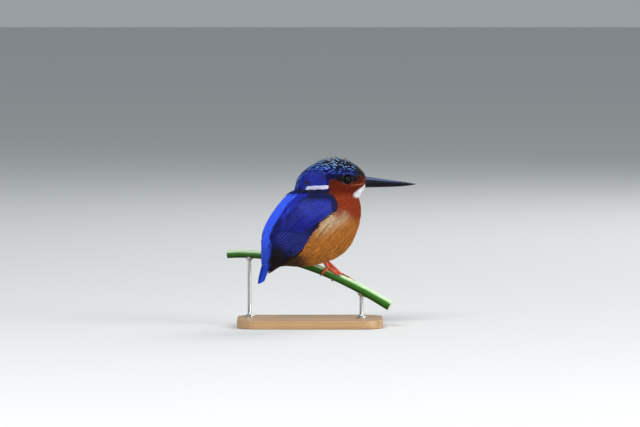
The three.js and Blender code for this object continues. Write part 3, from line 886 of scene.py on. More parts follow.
def unwrap(points):
    """Where a place of the skin lies on its own map: round the body, and along it from bill to tail."""
    bird = to_bird(points, LIE_YAW)
    spine = np.array([(40, 60), (12, 60), (-4, 54), (-8, 36), (-20, 22), (-38, 8), (-50, -12)], float)
    lengths = np.linalg.norm(np.diff(spine, axis=0), axis=1)
    starts = np.concatenate([[0], np.cumsum(lengths)])
    flat = bird[:, [0, 2]]
    best = np.full(len(bird), np.inf)
    v, off = np.zeros(len(bird)), np.zeros(len(bird))
    for start, end, length, before in zip(spine, spine[1:], lengths, starts):
        way = (end - start) / length
        share = np.clip((flat - start) @ way, 0, length)
        gap = flat - start - share[:, None] * way
        distance = np.linalg.norm(gap, axis=1)
        closer = distance < best
        best[closer] = distance[closer]
        v[closer] = (before + share[closer]) / starts[-1]
        off[closer] = (gap @ np.array([-way[1], way[0]]))[closer]
    u = np.arctan2(bird[:, 1], off) / (2 * math.pi) + 0.5
    return 0.01 + 0.98 * np.stack([u, v], 1)


PATCH = 0.003  # the size of a feather on that map


class Coat:
    """Collects feathers, and makes one mesh of them."""

    def __init__(self, name):
        self.name = name
        self.points, self.faces, self.colours, self.uv = [], [], [], []
        self.count = 0

    def add(self, shape, points, colours, roots):
        """points: feathers by vertices by 3. colours: the same. roots: where each feather grows."""
        feathers, vertices = points.shape[:2]
        starts = self.count + vertices * np.arange(feathers)
        self.faces.append((shape["faces"][None] + starts[:, None, None]).reshape(-1, 3))
        self.points.append(points.reshape(-1, 3))
        self.colours.append(np.clip(colours, 0, 1).reshape(-1, 3))
        patch = np.stack([shape["x"], 2 * shape["s"] - 1], 1) * PATCH / 2
        self.uv.append((unwrap(roots)[:, None] + patch).reshape(-1, 2))
        self.count += feathers * vertices

    def make(self, material, slot, *nodes):
        points = np.concatenate(self.points)
        faces = np.concatenate(self.faces)
        piece = make_mesh(self.name, points, faces, colours=np.concatenate(self.colours),
                          uv=np.concatenate(self.uv), crisp=True)
        return place(piece, material, slot, *nodes)


def scatter(points, spacing):
    """Indices of points at least their spacing apart, as many as fit, taken in a random order."""
    tree = tree_of(points)
    free = np.ones(len(points), bool)
    kept = []
    for i in random.permutation(len(points)).tolist():
        if free[i]:
            kept.append(i)
            for _, other, _ in tree.find_range(points[i], spacing[i]):
                free[other] = False
    return np.array(kept)


# ---- coat of head and body ----


def sprinkle(piece, density):
    """Random places on a mesh, so many to a square millimetre, and smooth normals there."""
    corners = mesh_triangles(piece.data)
    corner_points, corner_normals = (values[corners] for values in mesh_points(piece.data))
    a, b, c = corner_points.transpose(1, 0, 2)
    areas = np.linalg.norm(np.cross(b - a, c - a), axis=1) / 2
    picks = random.choice(len(areas), int(areas.sum() * density), p=areas / areas.sum())
    shares = random.dirichlet((1, 1, 1), len(picks))[..., None]
    return (corner_points[picks] * shares).sum(1), unit((corner_normals[picks] * shares).sum(1))


def shapes(count, **settings):
    """A few makes of one kind of feather, so that no two neighbours match."""
    return [feather_shape(seed=seed, **settings) for seed in range(count)]


def plumes(count, **settings):
    """The same of a kind of soft feather."""
    return [plume_shape(seed=seed, **settings) for seed in range(count)]


# Kinds of feather. size: length over feather_length. slim: half width over length. gap: distance
# between roots over length. stand: height of the tips over the coat's depth. tilt: how much the
# tips stand out. thick: the vane's thickness.
KINDS = {
    "crown": {"shapes": shapes(4, barbs=9, notch=0.07, widest=0.5), "size": 1.15, "slim": 0.2, "gap": 0.3,
              "stand": 0.95, "tilt": 0.2, "thick": 0.07},
    "nape": {"shapes": shapes(4, barbs=10, notch=0.09, widest=0.5), "size": 0.95, "slim": 0.16, "gap": 0.22,
             "stand": 0.95, "tilt": 0.12, "thick": 0.05},
    "face": {"shapes": plumes(5, strands=6, core=0.7), "size": 1.0, "slim": 0.22, "gap": 0.24,
             "stand": 0.95, "tilt": 0.12, "thick": 0.04},
    "white": {"shapes": plumes(4, strands=8, sweep=0.5), "size": 0.8, "slim": 0.15, "gap": 0.19,
              "stand": 1.05, "tilt": 0.12, "thick": 0.05},
    "back": {"shapes": plumes(6, strands=9, sweep=0.3, core=0.8), "size": 0.95, "slim": 0.2, "gap": 0.17,
             "stand": 1.0, "tilt": 0.12, "thick": 0.04},
    "belly": {"shapes": plumes(8, strands=8, core=0.8), "size": 1.1, "slim": 0.18, "gap": 0.165,
              "stand": 1.0, "tilt": 0.1, "thick": 0.04},
}


def kind_of(points):
    """The kind of feather that grows at each place."""
    head = to_bird(points, HEAD_YAW)
    trunk = to_bird(points, TRUNK_YAW)
    kinds = np.full(len(points), "belly", object)
    kinds[back_share(trunk) > 0.4] = "back"
    high = head[:, 2] > 52
    kinds[high & (head[:, 0] < 0)] = "nape"
    kinds[high & (head[:, 0] >= 0)] = "face"
    kinds[crown_share(head) > 0.5] = "crown"
    kinds[markings(points, patch=False).min(1) > 0.4] = "white"
    return kinds


def bar(shape, low, high):
    """1 on a band across a feather, from one share of its length to another."""
    s = shape["s"]
    return smooth(s, low - 0.03, low + 0.03) * (1 - smooth(s, high - 0.03, high + 0.03))


ROOT_SHADE = {"crown": 0.5, "nape": 0.7, "wing": 0.72}  # how dark a kind's feathers are at the root


def tones(kind, colours, shape):
    """Colours over each feather of a kind, from one colour for each feather."""
    s = shape["s"]
    root = ROOT_SHADE.get(kind, 0.95)
    base = root + (1 - root) * smooth(s, 0.1, 0.7)
    if kind == "nape":
        base = base * (1 + 0.6 * bar(shape, 0.6, 0.9))
    return colours[:, None] * (base * shape["shade"])[:, None]


def barred(colours, pale, shape):
    """Feathers with a pale bar near the tip."""
    strength = random.uniform(0.35, 1, (len(colours), 1))
    return mix(colours, pale[:, None], bar(shape, 0.52, 0.88) * strength)


SEEN_STEP = 4  # the step of a feather's line, of 5, where its colour is taken
SOWN = 14  # places tried for feathers on each square millimetre of skin
WING_HEM = 2.6  # how wide a strip round the wings has a thin coat
WING_HEM_DEPTH = 0.45  # and its depth there over the usual one
LOCKED = ("belly", "back")  # kinds whose feathers hang together in locks
WHITE_LIFT = 0.25  # how far the white feathers stand over their neighbours
BAR_LIFT = 0.12  # how far the crown's barred feathers do
BAR_GAP = 1.55  # distance between them
BAR_WIDTH = 0.72  # their width over the others'
BAR_LENGTH = 1.2  # and their length over the others'
FOREHEAD_FROM = 21  # x in the head's frame from which the crown is plain
CREST = 2.4  # how far tips stand out at most on top of the crown


def crest(points):
    """How far the crown's feathers may be raised at each place."""
    head = to_bird(points, HEAD_YAW)
    x, z = head[:, 0], head[:, 2]
    return CREST * smooth(z, 68, 75) * smooth(x, -9, -1) * (1 - smooth(x, 16, 23))


EYE_CLEAR = EYE["radius"] + 0.12  # how near an eye's middle feathers may come
STEM_CLEAR = 0.15  # and how near the stem


def clear_of_things(points):
    """Moves feather vertices out of the eyeballs and the stem."""
    for side in (-1, 1):
        middle = to_world([eye_middle(side)], HEAD_YAW)
        off = points - middle
        near = np.linalg.norm(off, axis=-1, keepdims=True) < EYE_CLEAR
        points = np.where(near, middle + unit(off) * EYE_CLEAR, points)
    axis, radius = stem_at(points)
    off = points - axis
    radius = (radius + STEM_CLEAR)[..., None]
    return np.where(np.linalg.norm(off, axis=-1, keepdims=True) < radius, axis + unit(off) * radius, points)


def open_skin(points):
    """Where feathers may grow: not under the wings, by the eyes, under the bill or in the stem."""
    head = to_bird(points, HEAD_YAW)
    clear = from_bill(points) > 2.5
    for side in (-1, 1):
        clear &= np.linalg.norm(head - eye_middle(side), axis=1) > EYE["radius"] - 0.1
    axis, radius = stem_at(points)
    clear &= np.linalg.norm(points - axis, axis=1) > radius + 0.7
    clear &= endwards(points) < TRUNK_END
    return clear & ~under_wing(to_bird(points, TRUNK_YAW))


def crown_bars(points):
    """The colour of the crown's bars: whitish on top, turquoise and blue towards the edge."""
    head = to_bird(points, HEAD_YAW)
    above = over_edge(head)
    front = 0.25 + 0.75 * smooth(head[:, 0], -4, 6)
    pale = mix(PALE_BAR, CROWN_SHEEN, random.uniform(0, 1, len(points)) * front)
    return painted(
        CROWN_BLUE,
        (BLUE_BAR, 0.35 + 0.65 * smooth(above, 0, 3)),
        (PALE_BAR, smooth(above, 1, 6) * front),
        (pale, smooth(above, 2, 7)),
    )


def over_wing(points):
    """Whether places lie where a wing is, or above the lowest flight feather."""
    trunk = to_bird(points, TRUNK_YAW)
    (x0, z0), (x1, z1) = FLIGHT_ROOTS[1], FLIGHT_TIPS[1]
    x, out, z = trunk[..., 0], np.abs(trunk[..., 1]), trunk[..., 2]
    quills = (x < x0) & (x > x1) & (out > 12) & (z > np.interp(x, [x1, x0], [z1, z0]))
    return quills | under_wing(trunk, margin=-0.4 + 0.5 * smooth(wing_uv(trunk)[0], 8, 14), inner=6)


def over_shoulder(points):
    """Whether places lie well over a wing, or behind its shoulder where neck and back fold."""
    trunk = to_bird(points, TRUNK_YAW)
    return under_wing(trunk, margin=2.4 - 4.4 * smooth(wing_uv(trunk)[0], 5, 7))


def kinked(line, lengths):
    """Whether lines turn sharply or jump, as they do in folds of the skin."""
    places, normals = line[:2]
    turns = (normals[:, 1:] * normals[:, :-1]).sum(-1).min(1)
    turns = np.minimum(turns, 0.35 + (normals[:, 1:] * normals[:, :1]).sum(-1).min(1))
    steps = np.linalg.norm(np.diff(places, axis=1), axis=-1)
    return (turns < 0.6) | (steps.max(1) > 1.6 * lengths / (places.shape[1] - 1))


PATCH_ROWS = (-1, -0.3, 0.3, 1)  # rows of the neck patch's feathers over its half height
PATCH_FEATHER = {"length": 3.8, "half": 0.6, "step": 0.75}


def make_neck_patch(ground, look):
    """The white bar on each side of the neck, in rows of short feathers one after another."""
    coat = Coat("coat_neck_patch")
    (x0, z0), (x1, z1) = NECK_PATCH["from"], NECK_PATCH["to"]
    makes = KINDS["white"]["shapes"]
    length, half = PATCH_FEATHER["length"], PATCH_FEATHER["half"]
    steps = np.arange(x1 - 0.5, x0 + length, -PATCH_FEATHER["step"])
    for side in (1, -1):
        for row in PATCH_ROWS:
            x = steps + random.normal(0, 0.15, len(steps))
            share = (x - x0) / (x1 - x0)
            height = np.interp(share, [0, 1], NECK_PATCH["half"]) - half * 0.6
            z = z0 + (z1 - z0) * share + row * height + 0.25 + random.normal(0, 0.16, len(steps))
            roots = ground.drop(to_world(np.stack([x, np.full(len(x), side * 12.0), z], 1), HEAD_YAW))[0]
            way = unit(np.array([x0 - x1, 0.0, z0 - z1]))
            ways = np.tile(turned(way, HEAD_YAW), (len(x), 1))
            line = walk(ground, roots, ways, np.full(len(x), length))
            depth = coat_depth(roots) + WHITE_LIFT
            for number, shape in enumerate(makes):
                own = np.arange(len(x)) % len(makes) == number
                made = lay_own(shape, own, line, np.full(len(x), half), (0.5 * depth, depth), 0.05)
                colours = PATCH_WHITE * random.normal(1, 0.06, (own.sum(), 1))
                coat.add(shape, made, tones("white", colours, shape), roots[own])
    coat.make(look, "crown_feathers")


def locks(points):
    """How much a lock of the loose plumage is lighter than the next one, from -1 to 1."""
    trunk = to_bird(points, TRUNK_YAW)
    along = 0.6 * trunk[:, 0] + 0.8 * trunk[:, 2]
    across = 0.8 * trunk[:, 0] - 0.6 * trunk[:, 2]
    return waves(np.stack([along / 5, across, 1.3 * trunk[:, 1]], 1), 2.6)


# Plumes of the body that lie over the wing's edges. line: the edge on the side plane, from front
# to back. outward: the side of it on which they grow. out: how far off it their roots are. half:
# half their width. turn: how many degrees they point in over the wing, and None where they follow
# it. sunk: the height of their roots. stand: that of their tips, and how much less it is for each
# millimetre that the root is further out. loose: how far off the skin they may lie.
FRINGES = {
    "flank": {
        "line": [(8.5, 41), (0.5, 38), (-6.5, 33.6), (-11.4, 28), (-14.9, 23.1), (-18, 17.5), (-21, 12)],
        "outward": 1, "out": (0, 3.6), "count": 330, "length": (3.0, 5.0), "half": 0.7,
        "turn": (4, 26), "sunk": -1.0, "stand": (0.6, 0.3), "loose": 9, "kind": "belly",
    },
    "scapular": {
        "line": [(-16, 52.5), (-20.5, 50.5), (-28, 43.5), (-32, 38.5), (-35.6, 34), (-38.6, 29.5),
                 (-40.8, 24), (-41.6, 18)],
        "outward": -1, "out": (-0.6, 1.4), "count": 420, "length": (3.4, 5.0), "half": 0.8,
        "turn": (2, 18), "sunk": -1.0, "stand": (0.4, 0.1), "loose": 4, "kind": "back",
    },
    "shoulder": {
        "line": [(2.6, 42.2), (4.2, 45.5), (3.6, 48.8), (1.4, 51.6), (-3, 53.8), (-8, 55), (-15, 54.4)],
        "outward": -1, "out": (-1.6, 1.2), "count": 260, "length": (2.6, 3.6), "half": 0.6,
        "turn": None, "sunk": -0.9, "stand": (0.5, 0.1), "loose": 2.2, "kind": "nape",
    },
}


def fringe_colours(fringe, places, at, out):
    """One colour for each plume: at is its place along the line, from 0 to 79, and out the one off it."""
    if fringe == "scapular":
        bright = random.uniform(0, 0.4, len(at)) * smooth(at, 0, 25) * (1 - smooth(at, 32, 44))
        return mix(mix(MANTLE, BACK, bright), QUILL, 0.75 * smooth(at, 34, 50))
    if fringe == "shoulder":
        # shoulder plumes in dark navy, painted shade where the wing meets the neck
        return mix(WING_DARK_AND_SHADE, WING_RIM, random.uniform(0, 0.5, len(at)) * smooth(-out, -0.6, 1.2))
    return markings(places, patch=False)


def fringe_roots(settings):
    """Roots of a fringe's plumes, the ways they point, and their places along its line and off it."""
    count = settings["count"]
    line = spline(settings["line"], 80)
    at = random.uniform(0, len(line) - 1.01, count)
    edge_way = unit(np.gradient(line, axis=0))[at.astype(int)]
    outward = settings["outward"] * np.stack([-edge_way[:, 1], edge_way[:, 0]], 1)
    out = random.uniform(*settings["out"], count)
    if settings["turn"]:
        turn = np.radians(random.uniform(*settings["turn"], count))[:, None]
        ways = np.cos(turn) * edge_way - np.sin(turn) * outward
    else:
        ways = unit(WING_WAY + random.normal(0, 0.12, (count, 2)))
    return line[at.astype(int)] + outward * out[:, None], ways, at, out


def make_fringe(fringe, side, name, ground, heights, look):
    """The soft edge of flank, back or shoulder over one side of a folded wing."""
    settings = FRINGES[fringe]
    count = settings["count"]
    coat = Coat(f"coat_{fringe}_{name}")
    roots, ways, at, out = fringe_roots(settings)
    lengths = random.uniform(*settings["length"], count)
    line = on_wing(heights, side, roots, ways, lengths, np.zeros(count))
    colours = fringe_colours(fringe, line[0][:, 0], at, out) * random.normal(1, 0.06, (count, 1))
    sunk = np.full(count, settings["sunk"])
    high, fall = settings["stand"]
    stand = high - fall * np.maximum(out, 0) - random.uniform(0, 0.2, count)
    bare = ground.drop(line[0].reshape(-1, 3))[0].reshape(line[0].shape)
    loose = np.linalg.norm(line[0] - bare, axis=2).max(1)
    makes = KINDS[settings["kind"]]["shapes"]
    which = np.where(loose < settings["loose"], random.integers(len(makes), size=count), -1)
    for number, shape in enumerate(makes):
        own = which == number
        made = lay_own(shape, own, line, np.full(count, settings["half"]), (sunk, stand), 0.04)
        coat.add(shape, made, tones(settings["kind"], colours[own], shape), line[0][own, 0])
    coat.make(look, "belly_feathers")


def body_roots(name, points, normals):
    """Where a kind's feathers grow, where they point, how long they are and how high they stand."""
    kind = KINDS[name]
    lengths = feather_length(points) * kind["size"]
    kept = scatter(points, lengths * kind["gap"])
    roots, lengths = points[kept], lengths[kept]
    lengths = lengths * random.uniform(0.9, 1.12, len(roots))
    shorter = 0.1 if name == "back" else 0.5
    lengths *= 1 - shorter * smooth(endwards(roots), TRUNK_END - 9, TRUNK_END)
    depth = coat_depth(roots) * kind["stand"] + random.uniform(-0.04, 0.04, len(roots))
    if name == "back":
        depth *= np.where(under_wing(to_bird(roots, TRUNK_YAW), margin=-WING_HEM), WING_HEM_DEPTH, 1)
    ways = lie(roots)
    ways = unit(ways + random.normal(0, 0.08, (len(roots), 1)) * np.cross(ways, normals[kept]))
    return roots, ways, lengths, depth


def strays(name, line, lengths, colours):
    """Which feathers lie over a wing in a colour that shows there, or in a fold of the skin."""
    reddish = (colours[:, 0] > 0.25 * colours[:, 2]) | (name in ("face", "belly", "white"))
    stray = over_wing(line[0]).any(1) & reddish
    stray |= (name == "nape") & over_shoulder(line[0]).any(1)
    return stray | kinked(line, lengths)


def fill_coats(name, roots, line, widths, depth, tilt, colours, bars, pale):
    """Feathers of a kind in a coat for each side. bars: which are barred, in their pale colours."""
    kind = KINDS[name]
    makes = random.integers(len(kind["shapes"]), size=len(roots))
    coats = {side: Coat(f"coat_{name}_{side}") for side in ("left", "right")}
    sides = np.where(to_bird(roots, LIE_YAW)[:, 1] > 0, "left", "right")
    for number, shape in enumerate(kind["shapes"]):
        for side, coat in coats.items():
            own = (makes == number) & (sides == side)
            if own.any():
                made = lay_own(shape, own, line, widths, (0.1 * depth, depth), kind["thick"], tilt)
                tone = tones(name, colours[own], shape)
                tone = np.where(bars[own][:, None, None], barred(tone, pale[own], shape), tone)
                coat.add(shape, clear_of_things(made), tone, roots[own])
    return coats.values()


def make_kind(name, points, normals, ground, look, slot):
    """The feathers of one kind, as one piece to a side."""
    kind = KINDS[name]
    roots, ways, lengths, depth = body_roots(name, points, normals)
    line = walk(ground, roots, ways, lengths)
    places = line[0][:, SEEN_STEP] + line[1][:, SEEN_STEP] * depth[:, None]
    colours = markings(places, patch=False)
    kept = ~strays(name, line, lengths, colours)
    roots, ways, lengths, depth, places, colours, *line = (
        part[kept] for part in (roots, ways, lengths, depth, places, colours, *line))
    colours = colours * random.normal(1, 0.05, (len(roots), 1))
    if name in LOCKED:
        colours = colours * (1 + 0.13 * locks(places)[:, None])
        depth = depth * (1 + 0.08 * locks(places))
    depth = depth + WHITE_LIFT * (colours.min(1) > 0.4)
    widths = lengths * kind["slim"]
    tilt = np.full(len(roots), kind["tilt"])
    bars = np.zeros(len(roots), bool)
    if name == "crown":
        bars[scatter(places, np.full(len(places), BAR_GAP))] = True
        bars &= to_bird(places, HEAD_YAW)[:, 0] < FOREHEAD_FROM
        widths = np.where(bars, widths * BAR_WIDTH, widths)
        line = walk(ground, roots, ways, np.where(bars, lengths * BAR_LENGTH, lengths))
        raised = crest(places) * random.uniform(0, 1, len(roots)) ** 2
        depth += np.where(bars, BAR_LIFT, 0) + raised
        tilt = tilt + 0.75 * smooth(raised, 0, 0.6)
    for coat in fill_coats(name, roots, line, widths, depth, tilt, colours, bars, crown_bars(places)):
        coat.make(look, slot)


def make_body_coat(skin, ground, looks):
    """The feathers of head and body, kind by kind."""
    points, normals = sprinkle(skin, SOWN)
    free = open_skin(points + normals)
    points, normals = points[free], normals[free]
    ways = tangent(lie(points), normals)
    kinds = kind_of(points + normals + 0.7 * feather_length(points)[:, None] * ways)
    for name in KINDS:
        mine = kinds == name
        make_kind(name, points[mine], normals[mine], ground, *looks[name])


# ---- wings and tail ----

COVERT_SHAPES = shapes(5, barbs=14, notch=0.05, ragged=0.02, widest=0.68)
# The innermost flight feather's root and tip on the side plane, and the outermost one's.
FLIGHT_ROOTS = np.array([(-24, 38), (-9, 31)], float)
FLIGHT_TIPS = np.array([(-41.5, 20.5), (-39.5, 4.0)], float)
FLIGHT_BENDS = (-0.1, -0.5)  # how far the innermost and the outermost turn towards level, in radians
QUILL_THICK = 0.12  # half the thickness of flight and tail feathers at the root
COVERT_END = 39.5  # how far along the wing the last coverts reach in its middle
COVERT_SLANT = 0.77  # and how much less for each millimetre towards the front
COVERTS_AIM = (56, -5)  # u and v of the place that they point at


def covert_rows():
    """Roots in u and v, lengths and half widths of a wing's coverts, row by row to the wing's end."""
    rows = []
    u = -3.6
    while u < 36:
        grown = smooth(u, -4, 36)
        length = 3.6 + 6.6 * grown
        half = 0.85 + 0.9 * grown
        front, back = wing_edges(u)
        count = max(2, int(round((back - front) / (half * 1.25))))
        v = np.linspace(front + 0.4 * half, back - 1.5 * half, count)
        v = v + random.normal(0, 0.1 * half, count)
        lengths = np.minimum(length, COVERT_END + COVERT_SLANT * v - u)
        rows.append(np.stack([u + random.normal(0, 0.12, count), v, lengths,
                              np.full(count, half)], 1)[lengths > 0.45 * length])
        u += 0.28 * length
    return np.concatenate(rows)


def wing_colours(u, v):
    """Lighter towards the shoulder, darker towards the wing's end, with painted shade where wing and neck
    meet and along the wing's front.
    """
    x, z = wing_place(u, v).T
    return painted(
        COVERT,
        (SHOULDER_BLUE, 1 - smooth(u, 14, 26)),
        (0.8 * COVERT, smooth(u, 26, 36)),
        (WING_RIM, (1 - smooth(v, -14, -9)) * smooth(u, 8, 16)),
        # painted shade where wing meets neck and along the wing's front
        (WING_DARK_AND_SHADE, np.maximum(smooth(z, 46.5, 51.5), smooth(x, -3, 2))),
        (WING_DARK_AND_SHADE, 0.8 * smooth(u, 35, 39) * (1 - smooth(np.abs(v + 4.5), 1, 4))),
    )


def make_coverts(side, name, heights, look):
    """The short firm feathers over a folded wing."""
    coat = Coat(f"coat_wing_{name}")
    u, v, lengths, halves = covert_rows().T
    roots = wing_place(u, v)
    ways = unit(unit(wing_place(*COVERTS_AIM) - roots) + WING_WAY)
    ways = unit(ways + random.normal(0, 0.05, (len(u), 1)) * ways[:, ::-1] * (1, -1))
    lengths = lengths * random.uniform(0.92, 1.08, len(u))
    line = on_wing(heights, side, roots, ways, lengths, np.zeros(len(u)))
    colours = wing_colours(u + 0.7 * lengths, v) * np.clip(random.normal(1, 0.14, (len(u), 1)), 0.75, 1.3)
    depth = 1.0 + 0.2 * smooth(u, 0, 30)
    makes = random.integers(len(COVERT_SHAPES), size=len(u))
    for number, shape in enumerate(COVERT_SHAPES):
        own = makes == number
        made = lay_own(shape, own, line, halves, (-depth, np.full(len(u), 0.1)), 0.06)
        rim = 1 + 0.3 * smooth(shape["s"], 0.8, 0.98)
        coat.add(shape, made, tones("wing", colours[own], shape) * rim[:, None], line[0][own, 0])
    coat.make(look, "covert_feathers")


def quill_shape(side, seed):
    """A long flight feather: a narrow outer web towards the wing's front edge, a wide inner one."""
    webs = (0.6, 1) if side > 0 else (1, 0.6)
    return feather_shape(barbs=26, notch=0.015, rake=0.1, widest=0.5, ragged=0.005, seed=seed, webs=webs)


def make_flight(side, name, floor, look, count=11):
    """A folded wing's long feathers, from the innermost and highest to the outermost and lowest."""
    coat = Coat(f"flight_{name}")
    for i in range(count):
        share = np.array([i / (count - 1)])
        root, tip, bend = (first + (last - first) * share
                           for first, last in (FLIGHT_ROOTS, FLIGHT_TIPS, FLIGHT_BENDS))
        way = (tip - root)[None]
        shape = quill_shape(side, i)
        heading = np.arctan2(way[:, 1], way[:, 0]) - bend / 2
        start = np.stack([np.cos(heading), np.sin(heading)], 1)
        line = on_wing(floor, side, root[None], start, np.linalg.norm(way, axis=1), bend, steps=12)
        height = 0.25 + (1 - share) * 1.1
        made = lay(shape, line, 2.1 + 0.3 * share, (height - 0.5, height), QUILL_THICK, np.array([0.12]))
        s, x = shape["s"], shape["x"] * side
        outer = smooth(share, 0.1, 0.6)
        colour = painted(
            TERTIAL,
            (QUILL, outer),
            (QUILL_EDGE, smooth(x, 0.3, 0.5) * (1 - 0.5 * smooth(s, 0.7, 1))),
            (WING_TIP, smooth(s + 0.16 * share, 0.8, 1.0) * outer),
        )
        coat.add(shape, made, colour[None] * shape["shade"][:, None], line[0][:, 0])
    coat.make(look, "flight_feathers", f"flight_feathers_{name}")


TAIL_ROOT = np.array([-41.0, 16.0])
TAIL_TIP = np.array([-48.2, -10.6])
TAIL_SPREAD = (2.4, 5.6)  # how far the outermost feather is from the middle, at the root and the tip
TAIL_ROOF = 2.0  # how far it is below the middle


def make_tail(look, count=12):
    """The tail's feathers, closed like a low roof, from one side to the other."""
    coat = Coat("tail_feathers")
    down = unit(TAIL_TIP - TAIL_ROOT)
    back = np.array([down[1], -down[0]])
    steps = np.linspace(0, 1, 9)
    for i in range(count):
        side = (i - (count - 1) / 2) / ((count - 1) / 2)
        length = np.linalg.norm(TAIL_TIP - TAIL_ROOT) - 2.6 * abs(side) ** 1.5
        y = side * (TAIL_SPREAD[0] + (TAIL_SPREAD[1] - TAIL_SPREAD[0]) * steps)
        flat = TAIL_ROOT + (steps * length)[:, None] * down - back * (TAIL_ROOF * abs(side) + 0.15)
        places = to_world(np.stack([flat[:, 0], y, flat[:, 1]], 1), TRUNK_YAW)[None]
        normal = turned([(back[0], 0.4 * np.sign(side), back[1])], TRUNK_YAW)
        normals = np.repeat(unit(normal)[None], len(steps), 1)
        shape = feather_shape(barbs=30, notch=0.02, rake=0.06, widest=0.62, ragged=0.01, seed=i)
        line = [places, normals, unit(np.gradient(places, axis=1))]
        flush = (np.zeros(1), np.zeros(1))
        made = lay(shape, line, np.array([2.1]), flush, QUILL_THICK, np.array([0.1 * side]), cup=0.1)
        edge = 0.4 * smooth(np.abs(shape["x"]), 0.45, 0.9)
        colour = painted(TAIL_BLUE, (QUILL, edge), (BLACK, 0.7 * (shape["z"] < -0.5)))
        coat.add(shape, made, colour[None] * shape["shade"][:, None], places[:, 0])
    coat.make(look, "flight_feathers", "tail")


# ---- materials ----


class Look:
    """A node material under construction: a Principled shader and helpers to feed it."""

    def __init__(self, name, **constants):
        self.material = bpy.data.materials.new(name)
        self.material.use_nodes = True
        self.tree = self.material.node_tree
        self.shader = self.tree.nodes["Principled BSDF"]
        self.feed(self.shader, constants)

    def feed(self, node, inputs):
        """Gives a node's sockets values, or links them to other nodes' outputs."""
        for name, value in inputs.items():
            socket = node.inputs[name.replace("_", " ")]
            if isinstance(value, bpy.types.NodeSocket):
                self.tree.links.new(value, socket)
            else:
                socket.default_value = value

    def node(self, kind, output, settings=None, **inputs):
        """Adds a node with its settings, feeds it, and gives one of its outputs."""
        made = self.tree.nodes.new(kind)
        for name, value in (settings or {}).items():
            setattr(made, name, value)
        self.feed(made, inputs)
        return made.outputs[output]

    def position(self):
        """The place on the object."""
        return self.node("ShaderNodeTexCoord", "Object")

    def stretched(self, scale):
        """The place on the object, stretched along some axes."""
        return self.node("ShaderNodeMapping", "Vector", Vector=self.position(), Scale=scale)

    def noise(self, scale, detail=3.0, vector=None):
        """Noise with this many blotches to a millimetre."""
        vector = vector or self.position()
        return self.node("ShaderNodeTexNoise", "Fac", Vector=vector, Scale=scale / MM, Detail=detail)

    def ramp(self, value, low, high):
        """A value's 0 to 1 spread over low to high."""
        return self.node("ShaderNodeMapRange", "Result", Value=value, To_Min=low, To_Max=high)

    def ramp_colour(self, value, low, high):
        """A blend from one colour to another by a value."""
        return self.node("ShaderNodeMix", "Result", {"data_type": "RGBA"},
                         Factor=value, A=(*low, 1), B=(*high, 1))

    def scaled(self, colour, factor):
        """A colour made lighter or darker by a factor."""
        return self.node("ShaderNodeVectorMath", "Vector", {"operation": "SCALE"},
                         Vector=colour, Scale=factor)

    def colour(self, output):
        """Colours the material."""
        self.feed(self.shader, {"Base Color": output})

    def tinted(self, value, low, high):
        """Colours the material with its tint, times low to high as a value goes from 0 to 1."""
        tint = self.node("ShaderNodeAttribute", "Color", {"attribute_name": "tint"})
        self.colour(self.scaled(tint, self.ramp(value, low, high)))

    def roughness(self, output):
        """Makes the material rough by an output."""
        self.feed(self.shader, {"Roughness": output})

    def bump(self, height, distance):
        """Relief of this height in millimetres."""
        bumpy = self.node("ShaderNodeBump", "Normal", Distance=distance * MM, Strength=1.0, Height=height)
        self.feed(self.shader, {"Normal": bumpy})


def skin_look():
    """Dull skin under the feathers, in their colours."""
    look = Look("skin", Roughness=0.8)
    look.tinted(look.noise(1.2), 0.7, 1.2)
    look.bump(look.noise(2.5), 0.1)
    return look.material


def plume_look(name, roughness, sheen, gloss):
    """Feathers coloured by their tint, a little uneven."""
    look = Look(name, Roughness=roughness, Specular_IOR_Level=gloss, Sheen_Weight=sheen, Sheen_Roughness=0.4)
    look.tinted(look.noise(1.5), 0.8, 1.2)
    look.bump(look.noise(6), 0.015)
    return look.material


# ---- bill ----

# In the head's frame, from the root inside the face to the tip: x, underside, top, half width.
BILL_ROWS = [
    (26, 56.1, 64.7, 3.7), (30, 56.3, 64, 3.6), (36, 56.4, 63.1, 3.1), (44, 56.6, 61.9, 2.4),
    (52, 56.9, 60.8, 1.7), (58, 57.4, 59.95, 1.1), (62, 58, 59.25, 0.55), (64.2, 58.5, 58.85, 0.15),
]
BILL_ARCH = np.linspace(0, math.pi, 33)  # angles over the rounded side of each half
BILL_FLOOR = 7  # points over its flat side
MOUTH = {"x": 27, "z": 59.7, "fall": math.radians(1.4), "gap": 0.06}
NOSTRIL = {"x": 32.2, "half": 1.5, "up": 0.42, "depth": 0.35}


def evened(values, rounds=3):
    """Values smoothed along their row, with the ends."""
    for _ in range(rounds):
        values = np.convolve(np.pad(values, 1, "edge"), (0.25, 0.5, 0.25), "valid")
    return values


